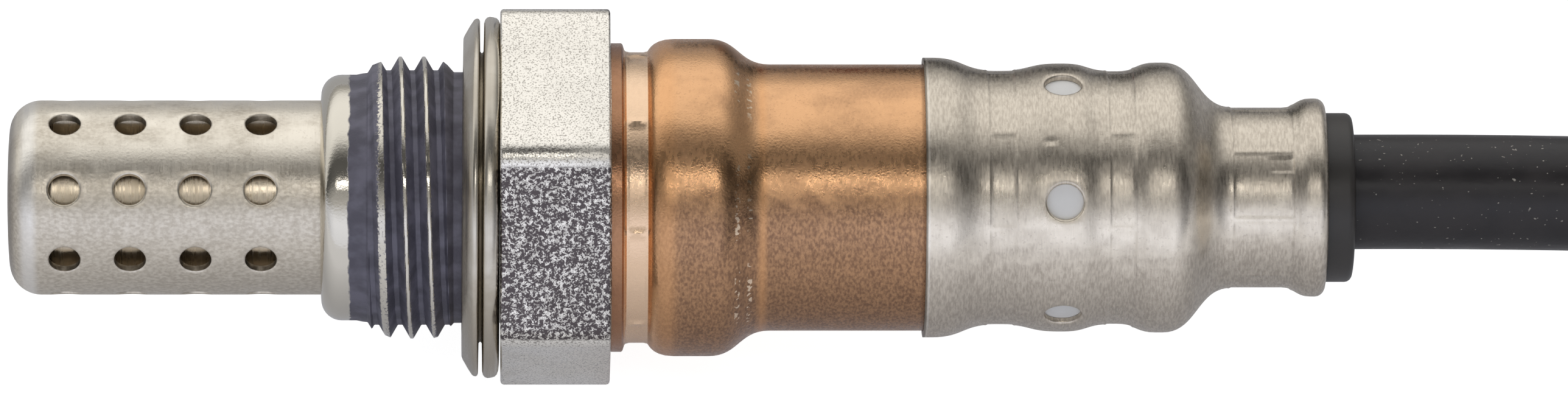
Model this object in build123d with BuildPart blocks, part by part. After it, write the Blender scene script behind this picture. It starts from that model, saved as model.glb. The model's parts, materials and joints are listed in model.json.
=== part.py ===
from build123d import *
from math import atan2, copysign, cos, degrees, pi, radians, sin, sqrt, tan
import os

# A heated four-wire oxygen sensor, all sizes in millimetres. It lies along X on its gasket's rim:
# the perforated gas end points to -X, the cable leaves at +X. The origin is on the floor below the
# middle of the body. A station is a distance along the sensor's axis, counted from its tip.

os.makedirs("parts", exist_ok=True)

# ---------------------------------------------------------------- driving dimensions
fit = 0.05  # gap between pieces that are pushed or screwed together

# protection tubes
tube_diameter = 12.4
tube_wall = 0.5
tube_exposed_length = 19.7
tube_corner_radius = 2.0
tube_dome_height = 0.15
flange_diameter = 14.2
gas_hole_diameter = 2.1
gas_hole_columns = 4
gas_hole_rows = 8
gas_hole_first_station = 3.57
gas_hole_column_pitch = 4.16
gas_hole_first_angle = 51.4
inner_tube_diameter = 10.0
inner_tube_wall = 0.4
inner_tube_tip_gap = 1.2
inner_corner_radius = 1.2
inner_hole_diameter = 1.4
bleed_hole_diameter = 2.0

# housing
nose_diameter = 15.8
nose_length = 3.45
nose_lip = 0.9
nose_round = 1.3
thread_diameter = 18.0
thread_length = 5.2
relief_diameter = 16.0
relief_width = 0.55
hex_across_flats = 22.0
hex_length = 7.0
hex_corner_radius = 1.5
hex_edge_break = 0.2
front_bore_diameter = 8.8
rear_bore_diameter = 12.0
seat_shoulder_depth = 9.6
rim_thickness = 1.0
rim_bore_diameter = 9.8

# crush gasket
gasket_diameter = 23.06
gasket_inner_diameter = 16.2
gasket_thickness = 2.46
gasket_sheet = 1.0
gasket_slit = 0.28
gasket_fold_radius = 9.2
gasket_front_flat_radius = 10.4
gasket_edge_round = 0.4

# sleeve over the housing's collar
sleeve_wall = 0.45
sleeve_lip_diameter = 19.7
sleeve_lip_width = 0.65
sleeve_groove_diameter = 18.65
sleeve_groove_width = 1.36
sleeve_groove_slope = 0.3
sleeve_bulge_diameter = 20.27
sleeve_bulge_rise = 1.7
sleeve_bulge_length = 2.2
sleeve_shoulder_length = 3.9
sleeve_diameter = 17.0
sleeve_visible_length = 19.9
sleeve_step_length = 1.2
sleeve_neck_diameter = 14.3
sleeve_neck_length = 14.7
sleeve_vent_diameter = 2.0

# vented rear cap
cap_wall = 0.38
cap_mouth_lap = 0.6
cap_first_waist_diameter = 16.24
cap_second_waist_diameter = 16.2
cap_crest_diameter = 17.12
cap_shoulder_diameter = 17.24
cap_neck_diameter = 11.56
cap_rim_diameter = 12.66
cap_rim_curl = 0.6
cap_rim_rise = 2.0
cap_rim_width = 0.9
cap_neck_length = 3.2
cap_first_waist_station = 4.8
cap_vent_station = 8.8
cap_second_waist_station = 12.15
cap_shoulder_station = 15.1
cap_neck_station = 19.7
cap_waist_width = 0.5
cap_vent_diameter = 2.33
cap_vent_count = 6
cap_vent_first_angle = 44.7
filter_overlap = 2.0

# jaws of the crimping tool
jaw_count = 8
jaw_first_angle = 77.2
jaw_seam_width = 0.5
jaw_depth = 0.1
jaw_waist_width = 1.5
jaw_neck_width = 3.0

# grommet and wires
grommet_diameter = 10.8
grommet_overhang = 1.9
grommet_edge_round = 1.0
grommet_cup_diameter = 8.3
grommet_cup_depth = 3.0
grommet_shoulder_length = 2.3
wire_diameter = 1.7
wire_pitch_radius = 2.1
wire_count = 4
wire_bend_share = 0.9

# sensing element and what seals it
element_tip_station = 3.4
element_tip_diameter = 4.6
element_root_diameter = 6.0
element_rear_diameter = 7.0
element_rear_station = 48.5
element_bore_diameter = 3.1
element_wall_at_tip = 1.1
element_flange_length = 3.2
element_taper_length = 1.6
contact_bore_diameter = 4.6
contact_bore_depth = 5.0
washer_thickness = 0.6
talc_length = 3.5
insulator_length = 4.1
crimp_wire_diameter = 1.5
heater_diameter = 2.5
heater_tip_gap = 0.6

# contacts and separator
contact_sheet = 0.3
contact_strip_width = 1.6
contact_pitch_radius = 3.4
contact_hole_diameter = 2.9
barrel_diameter = 2.4
barrel_length = 5.0
barrel_end_wall = 1.0
separator_front_gap = 2.5
separator_length = 12.6
separator_diameter = 12.4
separator_flange_diameter = 15.4
separator_flange_station = 4.4
separator_flange_length = 1.6
heater_socket_depth = 3.9
heater_arm_gap = 1.3
spring_sheet = 0.35

# cable and connector
cable_diameter = 7.35
cable_lift = 0.2
cable_shift = 0.28
floor_gap = 0.02
arc_share = 0.45
plug_width = 18.0
plug_height = 15.0
plug_body_length = 20.0
plug_nose_width = 13.6
plug_nose_height = 10.6
plug_nose_length = 13.0
plug_edge_radius = 1.2
plug_cavity_size = 2.6
plug_cavity_pitch = 5.0
plug_seal_section = 1.6
boot_length = 15.0
boot_entry_diameter = 10.4
boot_socket_depth = 9.0
boot_plug_depth = 4.0
latch_width = 7.0
latch_thickness = 1.6
latch_gap = 1.2
latch_length = 17.0
terminal_length = 12.0
terminal_size = 2.4
terminal_bore_diameter = 1.2
lock_thickness = 1.8
lock_window = 1.5
lock_width = 10.4
lock_height = 8.4
wedge_width = 5.6
wedge_thickness = 1.2
wedge_length = 6.0
key_length = 8.0
key_width = 1.4
key_height = 0.8
guard_width = 1.2
guard_gap = 0.8
wire_grip = 2.5
plug_seal_length = 4.0

# ---------------------------------------------------------------- stations along the axis
nose_face = tube_exposed_length
flange_front = nose_face + nose_lip
flange_joint = flange_front + tube_wall
flange_rear = flange_joint + inner_tube_wall
thread_start = nose_face + nose_length
thread_end = thread_start + thread_length
gasket_front = thread_end + relief_width
seat = gasket_front + gasket_thickness
hex_end = seat + hex_length
washer_front = flange_rear + fit + seat_shoulder_depth - nose_lip
element_seat = washer_front + washer_thickness
element_taper_start = element_seat + element_flange_length
element_taper_end = element_taper_start + element_taper_length
talc_rear = element_taper_end + talc_length
insulator_rear = talc_rear + insulator_length
crimp_centre = insulator_rear + crimp_wire_diameter / 2 + fit
rim_front = crimp_centre + crimp_wire_diameter / 2 + fit
rim_rear = rim_front + rim_thickness
sleeve_front = hex_end + fit
cap_front = sleeve_front + sleeve_visible_length
cap_neck = cap_front + cap_neck_station
cap_neck_end = cap_neck + cap_neck_length
cap_rim = cap_neck_end + cap_rim_rise
cap_rear = cap_rim + cap_rim_width
body_length = cap_rear + grommet_overhang
sleeve_step = cap_front + cap_mouth_lap
sleeve_neck = sleeve_step + sleeve_step_length
sleeve_rear = sleeve_neck + sleeve_neck_length
vent_station = cap_front + cap_vent_station
separator_front = element_rear_station + separator_front_gap
separator_rear = separator_front + separator_length
separator_flange_front = separator_front + separator_flange_station
separator_flange_rear = separator_flange_front + separator_flange_length
barrel_front = separator_front + 5.0
wire_front = barrel_front + barrel_end_wall + fit
grommet_front = vent_station + sleeve_vent_diameter / 2 + 0.5
grommet_cup_floor = body_length - grommet_cup_depth

# ---------------------------------------------------------------- shared frames and helpers
axis_height = gasket_diameter / 2
section_plane = Plane(origin=(-body_length / 2, 0, axis_height), x_dir=(1, 0, 0), z_dir=(0, -1, 0))
sensor_axis = Axis((0, 0, axis_height), (1, 0, 0))


def cross_plane(station):
    """Plane across the sensor's axis at a station, facing the cable, with its local Y up."""
    origin = section_plane.from_local_coords((station, 0, 0))
    return Plane(origin=origin, x_dir=(0, 1, 0), z_dir=(1, 0, 0))


def outward_planes(station, angles):
    """Planes on the axis at a station, each facing outwards at an angle from -Y towards +Z."""
    origin = section_plane.from_local_coords((station, 0, 0))
    directions = [(0, -cos(radians(angle)), sin(radians(angle))) for angle in angles]
    return [Plane(origin=origin, x_dir=(1, 0, 0), z_dir=direction) for direction in directions]


def half_plane(angle):
    """Plane through the axis whose local X is the station and local Y the radius at an angle."""
    outward = outward_planes(0, [angle])[0].z_dir
    return Plane(origin=section_plane.origin, x_dir=(1, 0, 0), z_dir=Vector(1, 0, 0).cross(outward))


def ring_angles(count, first):
    """Equally spaced angles round the axis."""
    return [first + 360 / count * step for step in range(count)]


def turned(*outline):
    """Face on the section plane bounded by (station, radius) points."""
    with BuildSketch(section_plane) as face:
        with BuildLine():
            Polyline(*outline, close=True)
        make_face()
    return face.sketch


def drawn_sheet(stages, wall, curl=0):
    """Section of a sheet tube whose level stages are joined by S-curves.

    A stage is (front, rear, radius, bend). The bend is 0.5 for an even S-curve from the stage
    before, and less for one that turns early. A curl rolls the rear end in by that depth.
    """
    with BuildSketch(section_plane) as section:
        with BuildLine():
            ends = []
            for inset in (0, wall):
                rows = [[front, rear, radius - inset, bend] for front, rear, radius, bend in stages]
                for before, after in zip(rows[:-1], rows[1:]):
                    rise, run = after[2] - before[2], after[0] - before[1]
                    slope = atan2(abs(rise) * (1 + 0.5 / after[3]), run)
                    shift = copysign(inset * tan(slope / 2), rise)
                    before[1] += shift
                    after[0] += shift
                rows[-1][1] -= curl
                for front, rear, radius, _ in rows:
                    if rear - front > fit / 10:
                        Line((front, radius), (rear, radius))
                for before, after in zip(rows[:-1], rows[1:]):
                    start, end, bend = (before[1], before[2]), (after[0], after[2]), after[3]
                    run = end[0] - start[0]
                    first = (start[0] + 2 * bend**2 * run, start[1])
                    second = (start[0] + bend * run, end[1])
                    Bezier(start, first, second, end)
                tail = (rows[-1][1], rows[-1][2])
                if curl:
                    corner = (stages[-1][1] - inset, tail[1])
                    lip = (corner[0], stages[-1][2] - curl)
                    Bezier(tail, corner, lip)
                    tail = lip
                ends += [(rows[0][0], rows[0][2]), tail]
            Line(ends[0], ends[2])
            Line(ends[1], ends[3])
        make_face()
    return section.sketch


def save(builder, name):
    """Label a finished piece and write its STEP file."""
    builder.part.label = name
    export_step(builder.part, f"parts/{name}.step")


# ---------------------------------------------------------------- protection tubes
tube_radius = tube_diameter / 2
flange_radius = flange_diameter / 2
gas_angles = ring_angles(gas_hole_rows, gas_hole_first_angle)
gas_stations = [
    gas_hole_first_station + gas_hole_column_pitch * column for column in range(gas_hole_columns)
]

dome_centre = (tube_radius**2 + tube_dome_height**2) / (2 * tube_dome_height)


def dome_point(sphere_radius, radius):
    """Point of a sphere about the dome's centre at a distance from the axis."""
    return (dome_centre - sqrt(sphere_radius**2 - radius**2), radius)


with BuildPart() as outer_protection_tube:
    with BuildSketch(section_plane) as tube_profile:
        with BuildLine():
            inner_sphere = dome_centre - tube_wall
            bore_radius = tube_radius - tube_wall
            outer_dome = [dome_point(dome_centre, tube_radius * share) for share in (0, 0.5, 1)]
            inner_dome = [dome_point(inner_sphere, bore_radius * share) for share in (1, 0.5, 0)]
            ThreePointArc(*outer_dome)
            Polyline(
                outer_dome[-1],
                (flange_front, tube_radius),
                (flange_front, flange_radius),
                (flange_joint, flange_radius),
                (flange_joint, bore_radius),
                inner_dome[0],
            )
            ThreePointArc(*inner_dome)
            Line(inner_dome[-1], outer_dome[0])
        make_face()
        corners = tube_profile.vertices()
        fillet(corners.sort_by_distance(outer_dome[-1])[0], radius=tube_corner_radius)
        corners = tube_profile.vertices()
        fillet(corners.sort_by_distance(inner_dome[0])[0], radius=tube_corner_radius - tube_wall)
    revolve(axis=sensor_axis)
    for station in gas_stations:
        with BuildSketch(*outward_planes(station, gas_angles)):
            Circle(gas_hole_diameter / 2)
        extrude(amount=tube_radius + tube_wall, mode=Mode.SUBTRACT)
save(outer_protection_tube, "outer_protection_tube")

inner_radius = inner_tube_diameter / 2
inner_tip = tube_wall + inner_tube_tip_gap
inner_angles = ring_angles(gas_hole_rows, gas_hole_first_angle + 180 / gas_hole_rows)
inner_stations = [
    (before + after) / 2 for before, after in zip(gas_stations[:-1:2], gas_stations[1::2])
]

with BuildPart() as inner_protection_tube:
    outline = turned(
        (inner_tip, bleed_hole_diameter / 2),
        (inner_tip, inner_radius),
        (flange_joint, inner_radius),
        (flange_joint, flange_radius),
        (flange_rear, flange_radius),
        (flange_rear, inner_radius - inner_tube_wall),
        (inner_tip + inner_tube_wall, inner_radius - inner_tube_wall),
        (inner_tip + inner_tube_wall, bleed_hole_diameter / 2),
    )
    revolve(outline, axis=sensor_axis)
    tip_rim = inner_protection_tube.edges().group_by(Axis.X)[0].sort_by(SortBy.LENGTH)[-1]
    fillet(tip_rim, radius=inner_corner_radius)
    for station in inner_stations:
        with BuildSketch(*outward_planes(station, inner_angles)):
            Circle(inner_hole_diameter / 2)
        extrude(amount=inner_radius + inner_tube_wall, mode=Mode.SUBTRACT)
save(inner_protection_tube, "inner_protection_tube")

# ---------------------------------------------------------------- housing
thread_radius = thread_diameter / 2
nose_radius = nose_diameter / 2
relief_radius = relief_diameter / 2
lead_in = thread_radius - nose_radius
run_out = thread_radius - relief_radius
collar_lip_radius = sleeve_lip_diameter / 2 - sleeve_wall - fit
collar_groove_radius = sleeve_groove_diameter / 2 - sleeve_wall - fit
collar_bulge_radius = sleeve_bulge_diameter / 2 - sleeve_wall - fit
lip_rear = sleeve_front + sleeve_lip_width
groove_front = lip_rear + sleeve_groove_slope
groove_rear = groove_front + sleeve_groove_width
bulge_crest = groove_rear + sleeve_bulge_rise
bulge_rear = bulge_crest + sleeve_bulge_length

with BuildPart() as housing:
    shank = turned(
        (nose_face, 0),
        (nose_face, nose_radius),
        (thread_start, nose_radius),
        (thread_start + lead_in, thread_radius),
        (thread_end - run_out / 2, thread_radius),
        (thread_end, relief_radius),
        (seat + fit, relief_radius),
        (seat + fit, 0),
    )
    revolve(shank, axis=sensor_axis)
    nose_edge = housing.edges().group_by(Axis.X)[0]
    fillet(nose_edge, radius=nose_round)
    with BuildSketch(cross_plane(seat)):
        hexagon = RegularPolygon(hex_across_flats / 2, 6, major_radius=False)
        fillet(hexagon.vertices(), radius=hex_corner_radius)
    extrude(amount=hex_length)
    hex_faces = housing.faces().filter_by(Axis.X).group_by(SortBy.AREA)[-2:]
    for group in hex_faces:
        for face in group:
            if face.area > hex_across_flats**2 / 2:
                chamfer(face.outer_wire().edges(), length=hex_edge_break)
    collar = turned(
        (hex_end - fit, 0),
        (hex_end - fit, collar_lip_radius),
        (lip_rear - sleeve_wall, collar_lip_radius),
        (groove_front - sleeve_wall, collar_groove_radius),
        (groove_rear + sleeve_wall, collar_groove_radius),
        (bulge_crest, collar_bulge_radius - sleeve_wall / 2),
        (bulge_rear, collar_bulge_radius - sleeve_wall / 2),
        (rim_rear, collar_groove_radius - sleeve_wall),
        (rim_rear, 0),
    )
    revolve(collar, axis=sensor_axis)
    bore = turned(
        (nose_face - fit, 0),
        (nose_face - fit, tube_radius + fit),
        (flange_front - fit, tube_radius + fit),
        (flange_front - fit, flange_radius + fit),
        (flange_rear + fit, flange_radius + fit),
        (flange_rear + fit, front_bore_diameter / 2),
        (washer_front, front_bore_diameter / 2),
        (washer_front, rear_bore_diameter / 2),
        (rim_front, rear_bore_diameter / 2),
        (rim_front, rim_bore_diameter / 2),
        (rim_rear + fit, rim_bore_diameter / 2),
        (rim_rear + fit, 0),
    )
    revolve(bore, axis=sensor_axis, mode=Mode.SUBTRACT)
save(housing, "housing")

# ---------------------------------------------------------------- crush gasket
gasket_radius = gasket_diameter / 2
gasket_bore = gasket_inner_diameter / 2
slit_front = gasket_front + gasket_sheet
slit_rear = slit_front + gasket_slit
rear_leg = seat - slit_rear

with BuildPart() as sealing_gasket:
    with BuildSketch(section_plane):
        with BuildLine():
            front_leg = Polyline(
                (gasket_front, gasket_bore),
                (gasket_front, gasket_front_flat_radius),
                (slit_front - gasket_sheet * 0.3, gasket_radius - gasket_edge_round * 0.3),
                (slit_front, gasket_radius - gasket_edge_round * 0.5),
                (slit_front, gasket_fold_radius),
                (slit_rear, gasket_fold_radius),
                (slit_rear, gasket_radius - gasket_edge_round),
            )
            rim = ThreePointArc(
                front_leg @ 1,
                (slit_rear + rear_leg * 0.4, gasket_radius),
                (slit_rear + rear_leg * 0.85, gasket_radius - gasket_edge_round),
            )
            Polyline(
                rim @ 1,
                (seat, gasket_front_flat_radius),
                (seat, gasket_bore),
                front_leg @ 0,
            )
        make_face()
    revolve(axis=sensor_axis)
save(sealing_gasket, "sealing_gasket")

# ---------------------------------------------------------------- sleeve
sleeve_radius = sleeve_diameter / 2
sleeve_neck_radius = sleeve_neck_diameter / 2
lip_radius = sleeve_lip_diameter / 2
groove_radius = sleeve_groove_diameter / 2
bulge_radius = sleeve_bulge_diameter / 2
jaw_angles = ring_angles(jaw_count, jaw_first_angle)
vent_angles = ring_angles(cap_vent_count, cap_vent_first_angle)


def jaw_prints(station, floor_radius, width):
    """Sections of the pockets that the crimping jaws press in, with a seam left between them."""
    seam = degrees(jaw_seam_width / floor_radius)
    starts = [half_plane(angle - seam / 2) for angle in jaw_angles]
    with BuildSketch(*starts) as prints:
        with Locations((station, floor_radius)):
            Rectangle(width, 2 * jaw_depth)
    return prints.sketch, 360 / jaw_count - seam


with BuildPart() as sleeve:
    stages = [
        (sleeve_front, lip_rear, lip_radius, 0.5),
        (groove_front, groove_rear, groove_radius, 0.5),
        (bulge_crest, bulge_rear, bulge_radius, 0.15),
        (bulge_rear + sleeve_shoulder_length, sleeve_step, sleeve_radius, 0.5),
        (sleeve_neck, sleeve_rear, sleeve_neck_radius, 0.5),
    ]
    revolve(drawn_sheet(stages, sleeve_wall), axis=sensor_axis)
    pockets, pocket_arc = jaw_prints(
        (groove_front + groove_rear) / 2, groove_radius, sleeve_groove_width
    )
    revolve(pockets, axis=sensor_axis, revolution_arc=pocket_arc, mode=Mode.SUBTRACT)
    with BuildSketch(*outward_planes(vent_station, vent_angles)):
        Circle(sleeve_vent_diameter / 2)
    extrude(amount=sleeve_neck_radius + sleeve_wall, mode=Mode.SUBTRACT)
save(sleeve, "sleeve")

# ---------------------------------------------------------------- rear cap and filter
mouth_radius = sleeve_radius + fit + cap_wall
first_waist_radius = cap_first_waist_diameter / 2
second_waist_radius = cap_second_waist_diameter / 2
crest_radius = cap_crest_diameter / 2
shoulder_radius = cap_shoulder_diameter / 2
cap_neck_radius = cap_neck_diameter / 2
rim_radius = cap_rim_diameter / 2
first_waist = cap_front + cap_first_waist_station
second_waist = cap_front + cap_second_waist_station
cap_shoulder = cap_front + cap_shoulder_station

with BuildPart() as rear_cap:
    half_waist = cap_waist_width / 2
    stages = [
        (cap_front, cap_front + cap_mouth_lap, mouth_radius, 0.5),
        (first_waist - half_waist, first_waist + half_waist, first_waist_radius, 0.5),
        (vent_station - half_waist, vent_station + half_waist, crest_radius, 0.5),
        (second_waist - half_waist, second_waist + half_waist, second_waist_radius, 0.5),
        (cap_shoulder - half_waist, cap_shoulder + half_waist, shoulder_radius, 0.5),
        (cap_neck, cap_neck_end, cap_neck_radius, 0.5),
        (cap_rim, cap_rear, rim_radius, 0.5),
    ]
    revolve(drawn_sheet(stages, cap_wall, curl=cap_rim_curl), axis=sensor_axis)
    for station, radius, width in (
        (first_waist, first_waist_radius, jaw_waist_width),
        (second_waist, second_waist_radius, jaw_waist_width),
        ((cap_neck + cap_neck_end) / 2, cap_neck_radius, jaw_neck_width),
    ):
        pockets, pocket_arc = jaw_prints(station, radius, width)
        revolve(pockets, axis=sensor_axis, revolution_arc=pocket_arc, mode=Mode.SUBTRACT)
    with BuildSketch(*outward_planes(vent_station, vent_angles)):
        Circle(cap_vent_diameter / 2)
    extrude(amount=crest_radius + cap_wall, mode=Mode.SUBTRACT)
save(rear_cap, "rear_cap")

filter_bore = sleeve_neck_radius + fit
filter_radius = min(first_waist_radius, second_waist_radius) - cap_wall - fit
filter_front = first_waist - filter_overlap
filter_rear = second_waist + filter_overlap

with BuildPart() as filter_membrane:
    band = turned(
        (filter_front, filter_bore),
        (filter_front, filter_radius),
        (filter_rear, filter_radius),
        (filter_rear, filter_bore),
    )
    revolve(band, axis=sensor_axis)
save(filter_membrane, "filter_membrane")

# ---------------------------------------------------------------- grommet and inner leads
wire_radius = wire_diameter / 2
wire_angles = ring_angles(wire_count, 180 / wire_count)
grommet_radius = grommet_diameter / 2
grommet_head_radius = sleeve_neck_radius - sleeve_wall - fit
grommet_neck_radius = cap_neck_radius - cap_wall - fit
grommet_cup_radius = grommet_cup_diameter / 2


def spoke_plane(station, radius, angle):
    """Plane across the axis at a point off it, with its local X pointing outwards."""
    outward = outward_planes(station, [angle])[0]
    return Plane(origin=outward.from_local_coords((0, 0, radius)), x_dir=outward.z_dir, z_dir=(1, 0, 0))


with BuildPart() as grommet:
    plug = turned(
        (grommet_front, 0),
        (grommet_front, grommet_head_radius),
        (sleeve_rear, grommet_head_radius),
        (sleeve_rear + grommet_shoulder_length, grommet_neck_radius),
        (cap_neck_end, grommet_neck_radius),
        (cap_rim, grommet_radius),
        (body_length, grommet_radius),
        (body_length, 0),
    )
    revolve(plug, axis=sensor_axis)
    rear_edge = grommet.edges().group_by(Axis.X)[-1]
    fillet(rear_edge, radius=grommet_edge_round)
    with BuildSketch(cross_plane(grommet_cup_floor)):
        Circle(grommet_cup_radius)
    extrude(amount=grommet_cup_depth, mode=Mode.SUBTRACT)
    with BuildSketch(*[spoke_plane(grommet_front, wire_pitch_radius, angle) for angle in wire_angles]):
        Circle(wire_radius + fit)
    extrude(amount=grommet_cup_floor - grommet_front, mode=Mode.SUBTRACT)
save(grommet, "grommet")

wire_run = (grommet_front - separator_rear) / 4
wire_turn = atan2(contact_pitch_radius - wire_pitch_radius, 2 * wire_run)
wire_bend_radius = wire_bend_share * wire_run / tan(wire_turn / 2)
for number, angle in enumerate(wire_angles, start=1):
    with BuildPart() as lead_wire:
        with BuildLine(half_plane(angle)) as lead_path:
            FilletPolyline(
                (wire_front, contact_pitch_radius),
                (separator_rear + wire_run, contact_pitch_radius),
                (grommet_front - wire_run, wire_pitch_radius),
                (grommet_cup_floor, wire_pitch_radius),
                radius=wire_bend_radius,
            )
        with BuildSketch(spoke_plane(wire_front, contact_pitch_radius, angle)):
            Circle(wire_radius)
        sweep(path=lead_path.line)
    save(lead_wire, f"lead_wire_{number}")

# ---------------------------------------------------------------- sensing element and its seals
front_bore = front_bore_diameter / 2
rear_bore = rear_bore_diameter / 2
element_flange_radius = rear_bore - 2 * fit
element_rear_radius = element_rear_diameter / 2
element_bore_radius = element_bore_diameter / 2
contact_bore_radius = contact_bore_diameter / 2
seal_radius = rear_bore - fit
seal_bore = element_rear_radius + fit

with BuildPart() as packing_washer:
    ring = turned(
        (washer_front, front_bore),
        (washer_front, seal_radius),
        (element_seat, seal_radius),
        (element_seat, front_bore),
    )
    revolve(ring, axis=sensor_axis)
save(packing_washer, "packing_washer")

with BuildPart() as zirconia_element:
    thimble = turned(
        (element_tip_station, 0),
        (element_tip_station, element_tip_diameter / 2),
        (element_seat, element_root_diameter / 2),
        (element_seat, element_flange_radius),
        (element_taper_start, element_flange_radius),
        (element_taper_end, element_rear_radius),
        (element_rear_station, element_rear_radius),
        (element_rear_station, contact_bore_radius),
        (element_rear_station - contact_bore_depth, contact_bore_radius),
        (element_rear_station - contact_bore_depth, element_bore_radius),
        (element_tip_station + element_wall_at_tip, element_bore_radius),
        (element_tip_station + element_wall_at_tip, 0),
    )
    revolve(thimble, axis=sensor_axis)
    tip_edge = zirconia_element.edges().group_by(Axis.X)[0]
    fillet(tip_edge, radius=element_tip_diameter * 0.4)
save(zirconia_element, "zirconia_element")

with BuildPart() as talc_seal:
    ring = turned(
        (element_taper_start + fit, seal_radius),
        (element_taper_start + fit, element_flange_radius),
        (element_taper_end + fit, seal_bore),
        (talc_rear, seal_bore),
        (talc_rear, seal_radius),
    )
    revolve(ring, axis=sensor_axis)
save(talc_seal, "talc_seal")

with BuildPart() as insulator_ring:
    ring = turned(
        (talc_rear + fit, seal_bore),
        (talc_rear + fit, seal_radius),
        (insulator_rear, seal_radius),
        (insulator_rear, seal_bore),
    )
    revolve(ring, axis=sensor_axis)
save(insulator_ring, "insulator_ring")

with BuildPart() as crimp_ring:
    with BuildSketch(section_plane):
        with Locations((crimp_centre, seal_radius - crimp_wire_diameter / 2)):
            Circle(crimp_wire_diameter / 2)
    revolve(axis=sensor_axis)
save(crimp_ring, "crimp_ring")

heater_radius = heater_diameter / 2
heater_front = element_tip_station + element_wall_at_tip + heater_tip_gap
heater_rear = separator_front + heater_socket_depth - fit

with BuildPart() as heater_rod:
    with BuildSketch(cross_plane(heater_front)):
        Circle(heater_radius)
    extrude(amount=heater_rear - heater_front)
    fillet(heater_rod.edges().group_by(Axis.X)[0], radius=heater_radius / 2)
save(heater_rod, "heater_rod")

# ---------------------------------------------------------------- contacts
signal_angle, heater_angle, ground_angle, other_heater_angle = wire_angles[:4]
strip_rear = barrel_front + barrel_end_wall / 2


def socket_planes(station, radius):
    """Planes across the axis at the centres of the separator's wire holes."""
    return [spoke_plane(station, radius, angle) for angle in wire_angles]


def rod_face(station, radius, angle):
    """Round section of a crimp barrel, off the axis at an angle."""
    with BuildSketch(spoke_plane(station, contact_pitch_radius, angle)) as section:
        Circle(radius)
    return section.sketch


def strip_face(station, inner_radius, outer_radius, angle, width=contact_strip_width):
    """Flat section of a contact strip that spans two radii at an angle."""
    with BuildSketch(spoke_plane(station, (inner_radius + outer_radius) / 2, angle)) as section:
        Rectangle(outer_radius - inner_radius, width)
    return section.sketch


signal_face = element_rear_station + fit
signal_tube_radius = contact_bore_radius - fit
strip_outer = contact_pitch_radius + contact_sheet / 2
with BuildPart() as signal_contact:
    ferrule = turned(
        (signal_face - contact_bore_depth + 2 * fit, signal_tube_radius - contact_sheet),
        (signal_face - contact_bore_depth + 2 * fit, signal_tube_radius),
        (signal_face, signal_tube_radius),
        (signal_face, contact_pitch_radius - contact_sheet),
        (signal_face + contact_sheet, contact_pitch_radius - contact_sheet),
        (signal_face + contact_sheet, signal_tube_radius - contact_sheet),
    )
    revolve(ferrule, axis=sensor_axis)
    extrude(strip_face(signal_face, signal_tube_radius, strip_outer, signal_angle), amount=contact_sheet)
    strip = strip_face(signal_face, strip_outer - contact_sheet, strip_outer, signal_angle)
    extrude(strip, amount=strip_rear - signal_face)
    extrude(rod_face(barrel_front, barrel_diameter / 2, signal_angle), amount=barrel_length)
    bore = rod_face(barrel_front + barrel_end_wall, wire_radius + fit, signal_angle)
    extrude(bore, amount=barrel_length, mode=Mode.SUBTRACT)
save(signal_contact, "signal_contact")

clip_radius = element_rear_radius + fit
with BuildPart() as ground_contact:
    clip_front = rim_rear + fit
    clip_rear = element_rear_station - contact_sheet
    clip = turned(
        (clip_front, clip_radius),
        (clip_front, clip_radius + contact_sheet),
        (clip_rear, clip_radius + contact_sheet),
        (clip_rear, clip_radius),
    )
    revolve(clip, axis=sensor_axis)
    strip = strip_face(clip_front, clip_radius, clip_radius + contact_sheet, ground_angle)
    extrude(strip, amount=strip_rear - clip_front)
    extrude(rod_face(barrel_front, barrel_diameter / 2, ground_angle), amount=barrel_length)
    bore = rod_face(barrel_front + barrel_end_wall, wire_radius + fit, ground_angle)
    extrude(bore, amount=barrel_length, mode=Mode.SUBTRACT)
save(ground_contact, "ground_contact")

arm_station = element_rear_station + heater_arm_gap
arm_inner = heater_radius + fit
for name, angle in (("heater_contact_1", heater_angle), ("heater_contact_2", other_heater_angle)):
    with BuildPart() as heater_contact:
        extrude(strip_face(arm_station, arm_inner, strip_outer, angle), amount=contact_sheet)
        strip = strip_face(arm_station, strip_outer - contact_sheet, strip_outer, angle)
        extrude(strip, amount=strip_rear - arm_station)
        extrude(rod_face(barrel_front, barrel_diameter / 2, angle), amount=barrel_length)
        bore = rod_face(barrel_front + barrel_end_wall, wire_radius + fit, angle)
        extrude(bore, amount=barrel_length, mode=Mode.SUBTRACT)
    save(heater_contact, name)

# ---------------------------------------------------------------- separator and its spring
separator_radius = separator_diameter / 2
separator_flange_radius = separator_flange_diameter / 2

with BuildPart() as ceramic_separator:
    bobbin = turned(
        (separator_front, 0),
        (separator_front, separator_radius),
        (separator_flange_front, separator_radius),
        (separator_flange_front, separator_flange_radius),
        (separator_flange_rear, separator_flange_radius),
        (separator_flange_rear, separator_radius),
        (separator_rear, separator_radius),
        (separator_rear, 0),
    )
    revolve(bobbin, axis=sensor_axis)
    with BuildSketch(*socket_planes(separator_front, contact_pitch_radius)):
        Circle(contact_hole_diameter / 2)
    extrude(amount=separator_length, mode=Mode.SUBTRACT)
    with BuildSketch(cross_plane(separator_front)):
        Circle(heater_radius + 2 * fit)
    extrude(amount=heater_socket_depth, mode=Mode.SUBTRACT)
save(ceramic_separator, "ceramic_separator")

with BuildPart() as separator_spring:
    spring_front = separator_flange_rear + fit
    spring_rear = sleeve_step - fit
    disc = turned(
        (spring_front, separator_radius + 2 * fit),
        (spring_front + spring_sheet, separator_radius + 2 * fit),
        (spring_rear, separator_flange_radius),
        (spring_rear - spring_sheet, separator_flange_radius),
    )
    revolve(disc, axis=sensor_axis)
save(separator_spring, "separator_spring")

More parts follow.
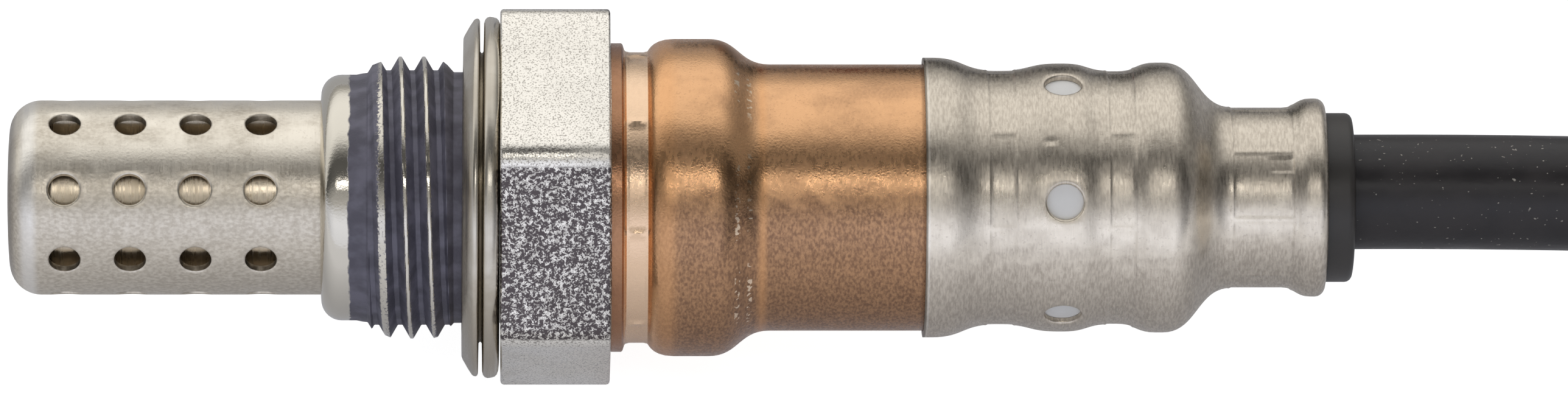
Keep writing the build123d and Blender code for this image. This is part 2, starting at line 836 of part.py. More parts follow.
# ---------------------------------------------------------------- cable
cable_radius = cable_diameter / 2
floor_height = cable_radius + floor_gap
plug_axis_height = plug_height / 2 + floor_gap
exit_height = axis_height + cable_lift
exit_start = body_length / 2 - grommet_cup_depth + fit
cable_route = [
    (exit_start, cable_shift, exit_height),
    (70.5, cable_shift, 12.11),
    (102.0, -0.8, 6.2),
    (133.2, -0.4, floor_height),
    (155.9, 22.2, floor_height),
    (156.2, 54.4, floor_height),
    (133.6, 77.0, floor_height),
    (100.6, 77.9, floor_height),
    (71.6, 74.4, floor_height),
    (51.6, 69.6, plug_axis_height),
    (33.8, 65.2, plug_axis_height),
]


def arc_radii(route):
    """Largest tangent arc at each corner of a route that its two runs leave room for."""
    corners = [Vector(*point) for point in route]
    radii = []
    for before, corner, after in zip(corners, corners[1:], corners[2:]):
        half_turn = radians((corner - before).get_angle(after - corner)) / 2
        shorter_run = min((corner - before).length, (after - corner).length)
        radii.append(arc_share * shorter_run / tan(half_turn))
    return radii


cable_radii = arc_radii(cable_route)
with BuildPart() as cable:
    with BuildLine() as cable_path:
        FilletPolyline(*cable_route, radius=cable_radii)
    with BuildSketch(Plane(origin=cable_path.line @ 0, z_dir=cable_path.line % 0)):
        Circle(cable_radius)
    sweep(path=cable_path.line)
save(cable, "cable")
cable_length = cable_path.wire().length
section_volume = pi * cable_radius**2 * cable_length
print("cable length", round(cable_length, 1), "volume", round(cable.part.volume, 1))
print("section times length", round(section_volume, 1))
print("arc radii", [round(radius, 1) for radius in cable_radii])

# ---------------------------------------------------------------- connector
plug_origin = Vector(*cable_route[-1])
plug_heading = (plug_origin - Vector(*cable_route[-2])).normalized()
plug_side = Vector(0, 0, 1).cross(plug_heading)
boot_rear = -boot_socket_depth
boot_shoulder = boot_rear + boot_length - boot_plug_depth
plug_rear = boot_shoulder
pocket_floor = boot_shoulder + boot_plug_depth + fit
plug_shoulder = plug_rear + plug_body_length
plug_face = plug_shoulder + plug_nose_length
terminal_front = plug_face - lock_thickness - 2 * fit
terminal_rear = terminal_front - terminal_length
boot_width = plug_width - 2 * plug_edge_radius
boot_height = plug_height - 2 * plug_edge_radius
pocket_width = boot_width - 2 * plug_edge_radius
pocket_height = boot_height - 2 * plug_edge_radius
cavity_centres = [
    (across * plug_cavity_pitch / 2, up * plug_cavity_pitch / 2) for across in (-1, 1) for up in (-1, 1)
]


def plug_plane(distance):
    """Plane across the connector at a distance past the cable's end, with its local Y up."""
    return Plane(origin=plug_origin + plug_heading * distance, x_dir=plug_side, z_dir=plug_heading)


with BuildPart() as connector_boot:
    with BuildSketch(plug_plane(boot_rear)):
        Circle(boot_entry_diameter / 2)
    with BuildSketch(plug_plane(boot_shoulder)):
        RectangleRounded(boot_width, boot_height, plug_edge_radius * 2)
    loft()
    with BuildSketch(plug_plane(boot_shoulder)):
        RectangleRounded(pocket_width, pocket_height, plug_edge_radius)
    extrude(amount=boot_plug_depth)
    with BuildSketch(plug_plane(boot_rear)):
        Circle(cable_radius + fit)
    extrude(amount=boot_socket_depth + fit, mode=Mode.SUBTRACT)
    with BuildSketch(plug_plane(0)):
        with Locations(*cavity_centres):
            Circle(wire_radius + fit)
    extrude(amount=pocket_floor, mode=Mode.SUBTRACT)
save(connector_boot, "connector_boot")

latch_rear = plug_shoulder - latch_length
latch_bottom = plug_height / 2 + latch_gap
latch_middle = latch_bottom + latch_thickness / 2
seat_face = plug_face - lock_thickness - fit
nose_edge_radius = 2 * plug_edge_radius

with BuildPart() as connector_housing:
    with BuildSketch(plug_plane(plug_rear)):
        RectangleRounded(plug_width, plug_height, plug_edge_radius)
    extrude(amount=plug_body_length)
    with BuildSketch(plug_plane(plug_shoulder)):
        RectangleRounded(plug_nose_width, plug_nose_height, nose_edge_radius)
    extrude(amount=plug_nose_length)
    with BuildSketch(plug_plane(plug_face - key_length)):
        for side, width in ((-1, key_width), (1, 2 * key_width)):
            with Locations((side * plug_nose_width / 2, 0)):
                Rectangle(2 * key_height, width)
    extrude(amount=key_length)
    with BuildSketch(plug_plane(plug_shoulder)):
        with Locations((0, latch_middle)):
            Rectangle(latch_width, latch_thickness)
    extrude(amount=-latch_length)
    with BuildSketch(plug_plane(plug_shoulder)):
        with Locations((0, plug_height / 2 + latch_gap / 2)):
            Rectangle(latch_width, latch_gap + latch_thickness / 2)
    extrude(amount=-2 * latch_thickness)
    with BuildSketch(plug_plane(latch_rear)):
        with Locations((0, latch_middle + latch_thickness / 2)):
            Rectangle(latch_width, latch_thickness)
    extrude(amount=2 * latch_thickness)
    with BuildSketch(plug_plane(plug_rear)):
        for side in (-1, 1):
            with Locations((side * (latch_width / 2 + guard_gap + guard_width / 2), latch_middle / 2)):
                Rectangle(guard_width, latch_middle)
    extrude(amount=plug_body_length)
    with BuildSketch(plug_plane(plug_rear)):
        RectangleRounded(pocket_width + 2 * fit, pocket_height + 2 * fit, plug_edge_radius)
    extrude(amount=boot_plug_depth + fit, mode=Mode.SUBTRACT)
    with BuildSketch(plug_plane(plug_rear)):
        with Locations(*cavity_centres):
            Circle(wire_radius + fit)
    extrude(amount=terminal_rear - plug_rear, mode=Mode.SUBTRACT)
    with BuildSketch(plug_plane(terminal_rear - fit)):
        with Locations(*cavity_centres):
            Rectangle(plug_cavity_size, plug_cavity_size)
    extrude(amount=plug_face - terminal_rear + fit, mode=Mode.SUBTRACT)
    with BuildSketch(plug_plane(seat_face)):
        RectangleRounded(lock_width + 2 * fit, lock_height + 2 * fit, plug_edge_radius)
    extrude(amount=plug_face - seat_face, mode=Mode.SUBTRACT)
    with BuildSketch(plug_plane(seat_face)):
        Rectangle(wedge_width + 2 * fit, wedge_thickness + 2 * fit)
    extrude(amount=-wedge_length - fit, mode=Mode.SUBTRACT)
save(connector_housing, "connector_housing")

with BuildPart() as connector_seal:
    seal_parts = [
        (plug_shoulder + fit, plug_seal_length, plug_seal_section / 2),
        (plug_shoulder + fit + plug_seal_length * 0.15, plug_seal_length * 0.2, plug_seal_section),
        (plug_shoulder + fit + plug_seal_length * 0.65, plug_seal_length * 0.2, plug_seal_section),
    ]
    for start, length, height in seal_parts:
        with BuildSketch(plug_plane(start)):
            RectangleRounded(
                plug_nose_width + 2 * height, plug_nose_height + 2 * height, nose_edge_radius + height
            )
        extrude(amount=length)
    with BuildSketch(plug_plane(plug_shoulder + fit)):
        RectangleRounded(
            plug_nose_width + 2 * fit, plug_nose_height + 2 * fit, nose_edge_radius + fit
        )
    extrude(amount=plug_seal_length, mode=Mode.SUBTRACT)
save(connector_seal, "connector_seal")

with BuildPart() as terminal_lock:
    with BuildSketch(plug_plane(seat_face + fit)):
        RectangleRounded(lock_width, lock_height, plug_edge_radius - fit)
        with Locations(*cavity_centres):
            Rectangle(lock_window, lock_window, mode=Mode.SUBTRACT)
    extrude(amount=lock_thickness)
    with BuildSketch(plug_plane(seat_face + fit)):
        Rectangle(wedge_width, wedge_thickness)
    extrude(amount=-wedge_length)
save(terminal_lock, "terminal_lock")

for number, centre in enumerate(cavity_centres, start=1):
    with BuildPart() as connector_terminal:
        with BuildSketch(plug_plane(terminal_rear)):
            with Locations(centre):
                Rectangle(terminal_size, terminal_size)
        extrude(amount=terminal_length)
        with BuildSketch(plug_plane(terminal_rear)):
            with Locations(centre):
                Circle(wire_radius + fit)
        extrude(amount=wire_grip, mode=Mode.SUBTRACT)
        with BuildSketch(plug_plane(terminal_front)):
            with Locations(centre):
                Circle(terminal_bore_diameter / 2)
        extrude(amount=wire_grip + fit - terminal_length, mode=Mode.SUBTRACT)
    save(connector_terminal, f"connector_terminal_{number}")

    with BuildPart() as connector_wire:
        with BuildSketch(plug_plane(fit)):
            with Locations(centre):
                Circle(wire_radius)
        extrude(amount=terminal_rear + wire_grip - 2 * fit)
    save(connector_wire, f"connector_wire_{number}")
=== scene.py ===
"""Visual model of a heated four-wire exhaust oxygen sensor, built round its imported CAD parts.

The sensor lies along X on its gasket's rim. A station is a distance in millimetres along the
sensor's axis from the tip of its gas end, and an angle goes round the axis from -Y towards +Z.
"""

from __future__ import annotations

import json
import logging
import math
from dataclasses import dataclass, field, replace
from enum import Enum
from typing import Any, Callable, Optional, Sequence

import bmesh
import bpy
from mathutils import Matrix, Vector

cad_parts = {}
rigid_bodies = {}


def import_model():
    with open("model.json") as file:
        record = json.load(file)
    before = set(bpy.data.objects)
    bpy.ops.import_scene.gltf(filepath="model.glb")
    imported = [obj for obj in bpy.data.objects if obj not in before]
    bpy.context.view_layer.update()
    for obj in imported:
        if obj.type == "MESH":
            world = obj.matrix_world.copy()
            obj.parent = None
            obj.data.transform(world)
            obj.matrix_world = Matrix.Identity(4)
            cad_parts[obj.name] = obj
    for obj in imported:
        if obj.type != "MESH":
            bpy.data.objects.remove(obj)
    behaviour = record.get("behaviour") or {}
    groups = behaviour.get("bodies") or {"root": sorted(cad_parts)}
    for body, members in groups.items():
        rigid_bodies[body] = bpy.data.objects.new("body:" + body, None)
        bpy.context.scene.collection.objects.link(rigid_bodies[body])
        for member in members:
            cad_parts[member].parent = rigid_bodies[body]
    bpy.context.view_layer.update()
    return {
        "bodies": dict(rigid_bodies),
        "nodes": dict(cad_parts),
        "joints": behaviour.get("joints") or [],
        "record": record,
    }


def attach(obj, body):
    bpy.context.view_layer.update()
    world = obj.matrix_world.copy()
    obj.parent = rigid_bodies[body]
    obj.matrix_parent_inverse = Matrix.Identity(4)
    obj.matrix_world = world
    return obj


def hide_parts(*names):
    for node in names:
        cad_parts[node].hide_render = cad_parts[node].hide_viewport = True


log = logging.getLogger("oxygen_sensor")

MM = 0.001
BODY = "root"
# The sensor's middle is the frame's origin, and its axis lies as high as its gasket's rim is wide.
HALF_LENGTH = 43.005
AXIS_HEIGHT = 11.53

Relief = Callable[[float, float], float]


# ---------------------------------------------------------------- small shared helpers
def linear(hex_colour: str) -> tuple[float, float, float, float]:
    """Turn an sRGB hex colour into linear RGBA.

    Args:
        hex_colour: colour such as "#B5ADA0".

    Returns:
        Linear red, green and blue, and an alpha of 1.
    """
    channels = [int(hex_colour[place:place + 2], 16) / 255 for place in (1, 3, 5)]
    red, green, blue = [
        value / 12.92 if value <= 0.04045 else ((value + 0.055) / 1.055) ** 2.4 for value in channels
    ]
    return (red, green, blue, 1.0)


def smooth(low: float, high: float, value: float) -> float:
    """Smooth step from 0 at low to 1 at high."""
    share = min(1.0, max(0.0, (value - low) / (high - low)))
    return share * share * (3 - 2 * share)


def bump(centre: float, half_width: float, soft: float, value: float) -> float:
    """Plateau of 1 about a centre that falls to 0 over a soft margin."""
    return 1 - smooth(half_width - soft, half_width + soft, abs(value - centre))


def turn_between(first: float, second: float) -> float:
    """Signed angle in degrees from the second angle to the first, within half a turn."""
    return (first - second + 180) % 360 - 180


def on_axis(station: float, radius: float, angle: float) -> Vector:
    """Turn a place round the sensor's axis into a point of the shared frame.

    Args:
        station: distance from the tip in millimetres.
        radius: distance from the axis in millimetres.
        angle: direction round the axis in degrees, from -Y towards +Z.

    Returns:
        Point in metres.
    """
    around = math.radians(angle)
    return Vector((
        (station - HALF_LENGTH) * MM,
        -math.cos(around) * radius * MM,
        (math.sin(around) * radius + AXIS_HEIGHT) * MM,
    ))


# ---------------------------------------------------------------- surfaces round the axis
class RowForm(Enum):
    """Outline that a row of points follows round the axis."""

    ROUND = "round"
    HEXAGON = "hexagon"
    THREAD = "thread"


@dataclass(frozen=True)
class Row:
    """One ring of points: its station, its radius or half the width across flats, and its form."""

    station: float
    radius: float
    form: RowForm = RowForm.ROUND


@dataclass(frozen=True)
class Hole:
    """Round hole through a sheet wall, in the middle of a block of grid rows and columns."""

    row: int
    column: int
    radius: float
    rim: float
    half_rows: int
    half_columns: int


@dataclass(frozen=True)
class HoleRing:
    """Ring of equal round holes at one station.

    Attributes:
        rim: width and depth of the rounding that drawing leaves on a hole's edge.
        block: half the length of the grid block that a hole is cut in.
        half_rows: half the rows of that block, and in the next half its columns.
    """

    station: float
    radius: float
    rim: float
    block: float
    half_rows: int
    half_columns: int
    count: int
    first_angle: float

    def stations(self) -> list[float]:
        """Stations of the rows in a block."""
        steps = range(-self.half_rows, self.half_rows + 1)
        return [self.station + self.block * step / self.half_rows for step in steps]

    def fit(self, rows: Sequence[Row]) -> list[Row]:
        """Rows of a profile with the block's rows in place of those that they come near to."""
        return insert_rows(rows, self.stations(), 0.5 * self.block / self.half_rows + 0.01)

    def holes(self, rows: Sequence[Row], columns: int) -> list[Hole]:
        """Place the holes on a grid whose first column is at the ring's first angle.

        Args:
            rows: rows of the outer face, with the block's rows among them.
            columns: columns of the grid.

        Returns:
            The ring's holes.
        """
        middle = min(range(len(rows)), key=lambda place: abs(rows[place].station - self.station))
        block = (self.half_rows, self.half_columns)
        return [
            Hole(middle, place * columns // self.count, self.radius, self.rim, *block)
            for place in range(self.count)
        ]


@dataclass(frozen=True)
class Hexagon:
    """Hexagon with rounded corners, as a polar outline."""

    corner_radius: float
    first_flat: float = 30.0

    def radius(self, half_flats: float, angle: float) -> float:
        """Distance from the axis to the outline.

        Args:
            half_flats: half the width across flats, in millimetres.
            angle: direction round the axis, in degrees.

        Returns:
            Radius in millimetres.
        """
        off = math.radians(abs(turn_between(angle - self.first_flat, 0) % 60))
        off = min(off, math.radians(60) - off)
        corner = math.radians(30)
        if half_flats * math.tan(off) <= (half_flats - self.corner_radius) * math.tan(corner):
            return half_flats / math.cos(off)
        centre = (half_flats - self.corner_radius) / math.cos(corner)
        across = centre * math.sin(corner - off)
        return centre * math.cos(corner - off) + math.sqrt(self.corner_radius**2 - across**2)


@dataclass(frozen=True)
class Thread:
    """Right-hand 60 degree thread that runs in and out under an envelope.

    Attributes:
        envelope: (station, radius) of the corners that no crest stands above.
    """

    pitch: float
    crest_station: float
    crest_radius: float
    root_radius: float
    crest_flat: float
    envelope: tuple[tuple[float, float], ...]

    def radius(self, station: float, angle: float) -> float:
        """Distance from the axis to the helical flank.

        Args:
            station: place along the axis, in millimetres.
            angle: direction round the axis, in degrees.

        Returns:
            Radius in millimetres.
        """
        turns = (station - self.crest_station) / self.pitch + angle / 360
        off = abs(turns - round(turns)) * self.pitch
        flank = self.crest_radius - max(0.0, off - self.crest_flat / 2) * math.tan(math.radians(60))
        limit = self.envelope[-1][1]
        for (start, low), (end, high) in zip(self.envelope[:-1], self.envelope[1:]):
            if start <= station <= end:
                limit = low + (high - low) * (station - start) / (end - start)
                break
        return min(limit, max(self.root_radius, flank))


def round_edge(radius: float, steps: int) -> list[tuple[float, float]]:
    """Points of a quarter round between an end face and a side.

    Args:
        radius: of the round.
        steps: straight stretches that it is drawn with.

    Returns:
        Distances back from the end face and in from the side, from the face to the side.
    """
    turns = [math.radians(90 * step / steps) for step in range(steps + 1)]
    return [(radius * (1 - math.cos(turn)), radius * (1 - math.sin(turn))) for turn in turns]


def sheet_rows(outer: Sequence[Row], wall: float, end: Sequence[Row] = ()) -> list[Row]:
    """Close a sheet's outer rows with the matching inner rows, a wall's thickness inside.

    Args:
        outer: rows of the outer face, from the front.
        wall: sheet thickness in millimetres.
        end: rows that join the two faces at the rear.

    Returns:
        Outer rows, end rows and inner rows in order round the section.
    """
    inner = []
    for place, row in enumerate(outer):
        before = outer[max(0, place - 1)]
        after = outer[min(len(outer) - 1, place + 1)]
        along, out = after.station - before.station, after.radius - before.radius
        length = math.hypot(along, out)
        station = row.station + wall * out / length
        radius = row.radius - wall * along / length
        inner.append(Row(station, 0.0 if row.radius == 0 else max(0.01, radius)))
    return list(outer) + list(end) + inner[::-1]


def stage_rows(stages: Sequence[tuple[float, float, float, float]], step: float) -> list[Row]:
    """Rows along level stages joined by S-curves.

    Args:
        stages: (front, rear, radius, bend) of each level, as in a drawn sheet.
        step: greatest distance between rows on a curve, in millimetres.

    Returns:
        Rows from front to rear.
    """
    rows = [Row(stages[0][0], stages[0][2])]
    for (_, start, low, _), (end, rear, high, bend) in zip(stages[:-1], stages[1:]):
        run = end - start
        count = max(4, math.ceil(math.hypot(run, high - low) / step))
        knots = ((start, low), (start + 2 * bend**2 * run, low), (start + bend * run, high), (end, high))
        for place in range(count + 1):
            share = place / count
            weights = ((1 - share) ** 3, 3 * share * (1 - share) ** 2, 3 * share**2 * (1 - share), share**3)
            station = sum(weight * knot[0] for weight, knot in zip(weights, knots))
            radius = sum(weight * knot[1] for weight, knot in zip(weights, knots))
            if station - rows[-1].station > 0.02:
                rows.append(Row(station, radius))
        level = math.ceil((rear - end) / step)
        rows += [Row(end + (rear - end) * (place + 1) / level, high) for place in range(level)]
    return rows


def insert_rows(rows: Sequence[Row], stations: Sequence[float], gap: float) -> list[Row]:
    """Add rows on a profile, in place of those that lie too near to them.

    Args:
        rows: rows of the profile, from the front.
        stations: where rows are added.
        gap: distance within which a row that is there already goes.

    Returns:
        Rows from front to rear.
    """
    kept = [row for row in rows if all(abs(row.station - station) > gap for station in stations)]
    added = [Row(station, level_at(rows, station)) for station in stations]
    return sorted(kept + added, key=lambda row: row.station)


def level_at(rows: Sequence[Row], station: float) -> float:
    """Find the radius of a profile between its rows.

    Args:
        rows: rows of the profile, from the front.
        station: place along the axis, in millimetres.

    Returns:
        Radius in millimetres.
    """
    for before, after in zip(rows[:-1], rows[1:]):
        if before.station <= station <= after.station and after.station > before.station:
            share = (station - before.station) / (after.station - before.station)
            return before.radius + (after.radius - before.radius) * share
    return rows[-1].radius


@dataclass
class TurnedSkin:
    """Closed surface of rows round the axis, with an optional relief and round holes.

    Attributes:
        relief: height in millimetres that is added at a station and angle.
        wall: thickness of the sheet that holes go through.
        lean: angle by which the rows lean off square, and in the next towards where.
        sharp_angle: angle past which an edge is shaded as sharp.
        rim_shares: shares of a hole's rim, outwards and down, on its rounded edge.
    """

    rows: list[Row]
    columns: int = 192
    first_angle: float = 0.0
    relief: Optional[Relief] = None
    hexagon: Optional[Hexagon] = None
    thread: Optional[Thread] = None
    wall: float = 0.0
    holes: list[Hole] = field(default_factory=list)
    lean: float = 0.0
    lean_angle: float = 0.0
    sharp_angle: float = 32.0
    rim_shares: tuple[tuple[float, float], ...] = ((1.0, 0.0), (0.45, 0.2), (0.1, 0.55), (0.0, 1.0))
    points: list[Vector] = field(default_factory=list)
    faces: list[list[int]] = field(default_factory=list)

    def angle_of(self, column: int) -> float:
        """Angle of a column in degrees."""
        return self.first_angle + 360.0 * column / self.columns

    def radius_of(self, row: Row, angle: float) -> float:
        """Distance from the axis to the surface, with the relief.

        Args:
            row: ring of points.
            angle: direction round the axis.

        Returns:
            Radius in millimetres.
        """
        if row.form is RowForm.HEXAGON:
            radius = self.hexagon.radius(row.radius, angle)
        elif row.form is RowForm.THREAD:
            radius = self.thread.radius(row.station, angle)
        else:
            radius = row.radius
        if self.relief is not None and radius > 0:
            radius += self.relief(row.station, angle)
        return radius

    def place(self, station: float, radius: float, angle: float) -> int:
        """Add a point.

        Args:
            station: place along the axis, before the lean.
            radius: distance from the axis.
            angle: direction round the axis.

        Returns:
            The point's index.
        """
        leaning = math.tan(math.radians(self.lean)) * radius * math.cos(math.radians(angle - self.lean_angle))
        self.points.append(on_axis(station + leaning, radius, angle))
        return len(self.points) - 1

    def pierce(self, grid: list[list[int]], hole: Hole) -> None:
        """Fill a block of the grid, on both faces of the wall, with a round hole.

        Args:
            grid: point indices by row and column.
            hole: the hole and its block.
        """
        last = len(self.rows) - 1
        low, high = hole.row - hole.half_rows, hole.row + hole.half_rows
        left, right = hole.column - hole.half_columns, hole.column + hole.half_columns
        around = [(low, column) for column in range(left, right)]
        around += [(row, right) for row in range(low, high)]
        around += [(high, column) for column in range(right, left, -1)]
        around += [(row, left) for row in range(high, low, -1)]
        centre = self.rows[hole.row]
        centre_angle = self.angle_of(hole.column)
        face_rows = self.rows[:hole.row + hole.half_rows + 2]
        edge = []
        for row, column in around:
            turn = math.radians(self.angle_of(column) - centre_angle)
            edge.append((self.rows[row].station - centre.station, centre.radius * math.sin(turn)))

        def ring(reach: float, share: float, depth: float) -> list[int]:
            """Add a loop of points round the hole.

            Args:
                reach: radius of the loop's circle.
                share: how far the points are moved from the circle to the block's edge.
                depth: of the loop below the outer face.

            Returns:
                The points' indices.
            """
            indices = []
            for along, across in edge:
                length = math.hypot(along, across)
                u = along * (share + (1 - share) * reach / length)
                v = across * (share + (1 - share) * reach / length)
                station = centre.station + u
                angle = centre_angle + math.degrees(math.asin(v / centre.radius))
                radius = level_at(face_rows, station) - depth
                if self.relief is not None:
                    radius += self.relief(station, angle)
                indices.append(self.place(station, radius, angle))
            return indices

        lip = hole.radius + hole.rim
        loops = [[grid[row][column % self.columns] for row, column in around], ring(lip, 0.5, 0.0)]
        loops += [ring(hole.radius + hole.rim * out, 0.0, hole.rim * down) for out, down in self.rim_shares]
        loops += [ring(hole.radius, 0.0, self.wall), ring(lip, 0.5, self.wall)]
        loops.append([grid[last - row][column % self.columns] for row, column in around])
        for first, second in zip(loops[:-1], loops[1:]):
            for place, index in enumerate(first):
                following = (place + 1) % len(first)
                self.faces.append([index, first[following], second[following], second[place]])

    def build(self, name: str) -> bpy.types.Object:
        """Make the mesh object.

        Args:
            name: name of the new piece.

        Returns:
            The object, at the origin, with its place in its mesh.
        """
        grid: list[list[int]] = []
        for row in self.rows:
            if row.radius == 0:
                grid.append([self.place(row.station, 0.0, 0.0)] * self.columns)
                continue
            ring = []
            for column in range(self.columns):
                angle = self.angle_of(column)
                ring.append(self.place(row.station, self.radius_of(row, angle), angle))
            grid.append(ring)
        last = len(self.rows) - 1
        pierced = set()
        for hole in self.holes:
            for row in range(hole.row - hole.half_rows, hole.row + hole.half_rows):
                for column in range(hole.column - hole.half_columns, hole.column + hole.half_columns):
                    pierced.add((row, column % self.columns))
                    pierced.add((last - 1 - row, column % self.columns))
        open_ends = self.rows[0].radius == 0
        for row in range(len(self.rows) - (1 if open_ends else 0)):
            after = (row + 1) % len(self.rows)
            for column in range(self.columns):
                if (row, column) in pierced:
                    continue
                beside = (column + 1) % self.columns
                corners = [grid[row][column], grid[row][beside], grid[after][beside], grid[after][column]]
                self.faces.append(list(dict.fromkeys(corners)))
        for hole in self.holes:
            self.pierce(grid, hole)
        return mesh_object(name, self.points, self.faces, self.sharp_angle)


def mesh_object(
    name: str, points: Sequence[Vector], faces: Sequence[Sequence[int]], sharp_angle: float
) -> bpy.types.Object:
    """Make a smooth-shaded mesh with its normals outwards and its sharp edges marked.

    Args:
        name: name of the object and its mesh.
        points: corners in metres.
        faces: corner indices of each face.
        sharp_angle: angle in degrees past which an edge is shaded as sharp.

    Returns:
        The new object in the scene's collection.
    """
    mesh = bpy.data.meshes.new(name)
    mesh.from_pydata(points, [], faces)
    mesh.validate()
    form = bmesh.new()
    form.from_mesh(mesh)
    bmesh.ops.recalc_face_normals(form, faces=form.faces)
    form.to_mesh(mesh)
    form.free()
    mesh.shade_smooth()
    mesh.set_sharp_from_angle(angle=math.radians(sharp_angle))
    piece = bpy.data.objects.new(name, mesh)
    bpy.context.scene.collection.objects.link(piece)
    return piece


def dress(piece: bpy.types.Object, *materials: bpy.types.Material) -> None:
    """Give a piece its materials in place of those it has.

    Args:
        piece: new piece or CAD node.
        materials: by the number that its faces ask for.
    """
    piece.data.materials.clear()
    for material in materials:
        piece.data.materials.append(material)
    log.info("%s is made of %s", piece.name, " and ".join(material.name for material in materials))


def mount(piece: bpy.types.Object, slot: str, *nodes: str) -> None:
    """Ride a new piece on the body and let it stand for CAD nodes.

    Args:
        piece: the new piece.
        slot: the record's material slot for the piece; not used.
        nodes: names of the CAD nodes that it hides.
    """
    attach(piece, BODY)
    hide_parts(*nodes)
    log.info("%s stands for %s", piece.name, ", ".join(nodes))


# ---------------------------------------------------------------- finishes
SOFT = {"interpolation_type": "SMOOTHSTEP"}
COLOURS = {"out": 2, "data_type": "RGBA"}


class Nodes:
    """Shader node tree that starts empty."""

    def __init__(self, owner: Any) -> None:
        """Empty the node tree of a material or a world.

        Args:
            owner: material or world that holds the tree.
        """
        owner.use_nodes = True
        self.tree: bpy.types.NodeTree = owner.node_tree
        self.tree.nodes.clear()

    def add(
        self, kind: str, inputs: Sequence[Any] | dict[Any, Any] = (), out: str | int = 0, **settings: Any
    ) -> Any:
        """Add a node with its settings, its values and the links into it.

        Args:
            kind: Blender's name of the node, without its ShaderNode.
            inputs: values and linked outputs, in socket order or by socket name or number.
            out: name or number of the output that is given back.
            settings: attributes set on the node.

        Returns:
            That output, or the node itself where it has none.
        """
        node = self.tree.nodes.new("ShaderNode" + kind)
        for name, value in settings.items():
            setattr(node, name, value)
        named = inputs if isinstance(inputs, dict) else dict(enumerate(inputs))
        for name, value in named.items():
            if isinstance(value, bpy.types.NodeSocket):
                self.tree.links.new(value, node.inputs[name])
            else:
                node.inputs[name].default_value = value
        return node.outputs[out] if len(node.outputs) else node


class Sheet(Nodes):
    """Node tree of one material, with the sensor's own coordinates at hand in millimetres."""

    def __init__(self, name: str) -> None:
        """Start an empty material.

        Args:
            name: name of the real finish.
        """
        self.material = bpy.data.materials.new(name)
        super().__init__(self.material)
        tip = (-HALF_LENGTH * MM, 0, AXIS_HEIGHT * MM)
        off = self.add("VectorMath", (self.add("TexCoord", out="Object"), tip), operation="SUBTRACT")
        self.place = self.add("VectorMath", (off, (1 / MM, 1 / MM, 1 / MM)), operation="MULTIPLY")
        self.station = self.add("SeparateXYZ", (self.place,))
        across = self.add("VectorMath", (self.place, (0, 1, 1)), operation="MULTIPLY")
        self.radius = self.add("VectorMath", (across,), out="Value", operation="LENGTH")

    def grain(self, along: float, around: float, detail: float) -> bpy.types.NodeSocket:
        """Noise from 0 to 1, mostly near the middle, whose grain has a real size.

        Args:
            along: grain along the axis in millimetres.
            around: grain across the axis in millimetres.
            detail: octaves of finer noise.

        Returns:
            Output with the noise.
        """
        size = (1 / along, 1 / around, 1 / around)
        scaled = self.add("VectorMath", (self.place, size), operation="MULTIPLY")
        return self.add("TexNoise", {"Vector": scaled, "Scale": 1.0, "Detail": detail})

    def facing(self, angle: float) -> bpy.types.NodeSocket:
        """Tell the sides of the sensor apart.

        Args:
            angle: direction round the axis, in degrees.

        Returns:
            Output that is 1 on the side at that angle and -1 on the far side.
        """
        turn = math.radians(angle)
        outwards = (0, -math.cos(turn), math.sin(turn))
        side = self.add("VectorMath", (self.place, outwards), out="Value", operation="DOT_PRODUCT")
        return self.add("Math", (side, self.radius), operation="DIVIDE")

    def relief(self, heights: Sequence[tuple[Any, float]]) -> Any:
        """Chain bumps.

        Args:
            heights: pairs of an output with a height and its full height in millimetres.

        Returns:
            Output with the normal of the last bump.
        """
        chain: dict[str, Any] = {}
        for height, depth in heights:
            inputs = {"Height": height, "Distance": depth * MM, "Strength": 1.0, **chain}
            chain = {"Normal": self.add("Bump", inputs)}
        return chain["Normal"]

    def finish(self, **values: Any) -> bpy.types.Material:
        """Close the tree with its surface shader.

        Args:
            values: values and outputs for the shader's sockets, with underscores for spaces.

        Returns:
            The material.
        """
        named = {name.replace("_", " "): value for name, value in values.items()}
        self.add("OutputMaterial", {"Surface": self.add("BsdfPrincipled", named)})
        return self.material


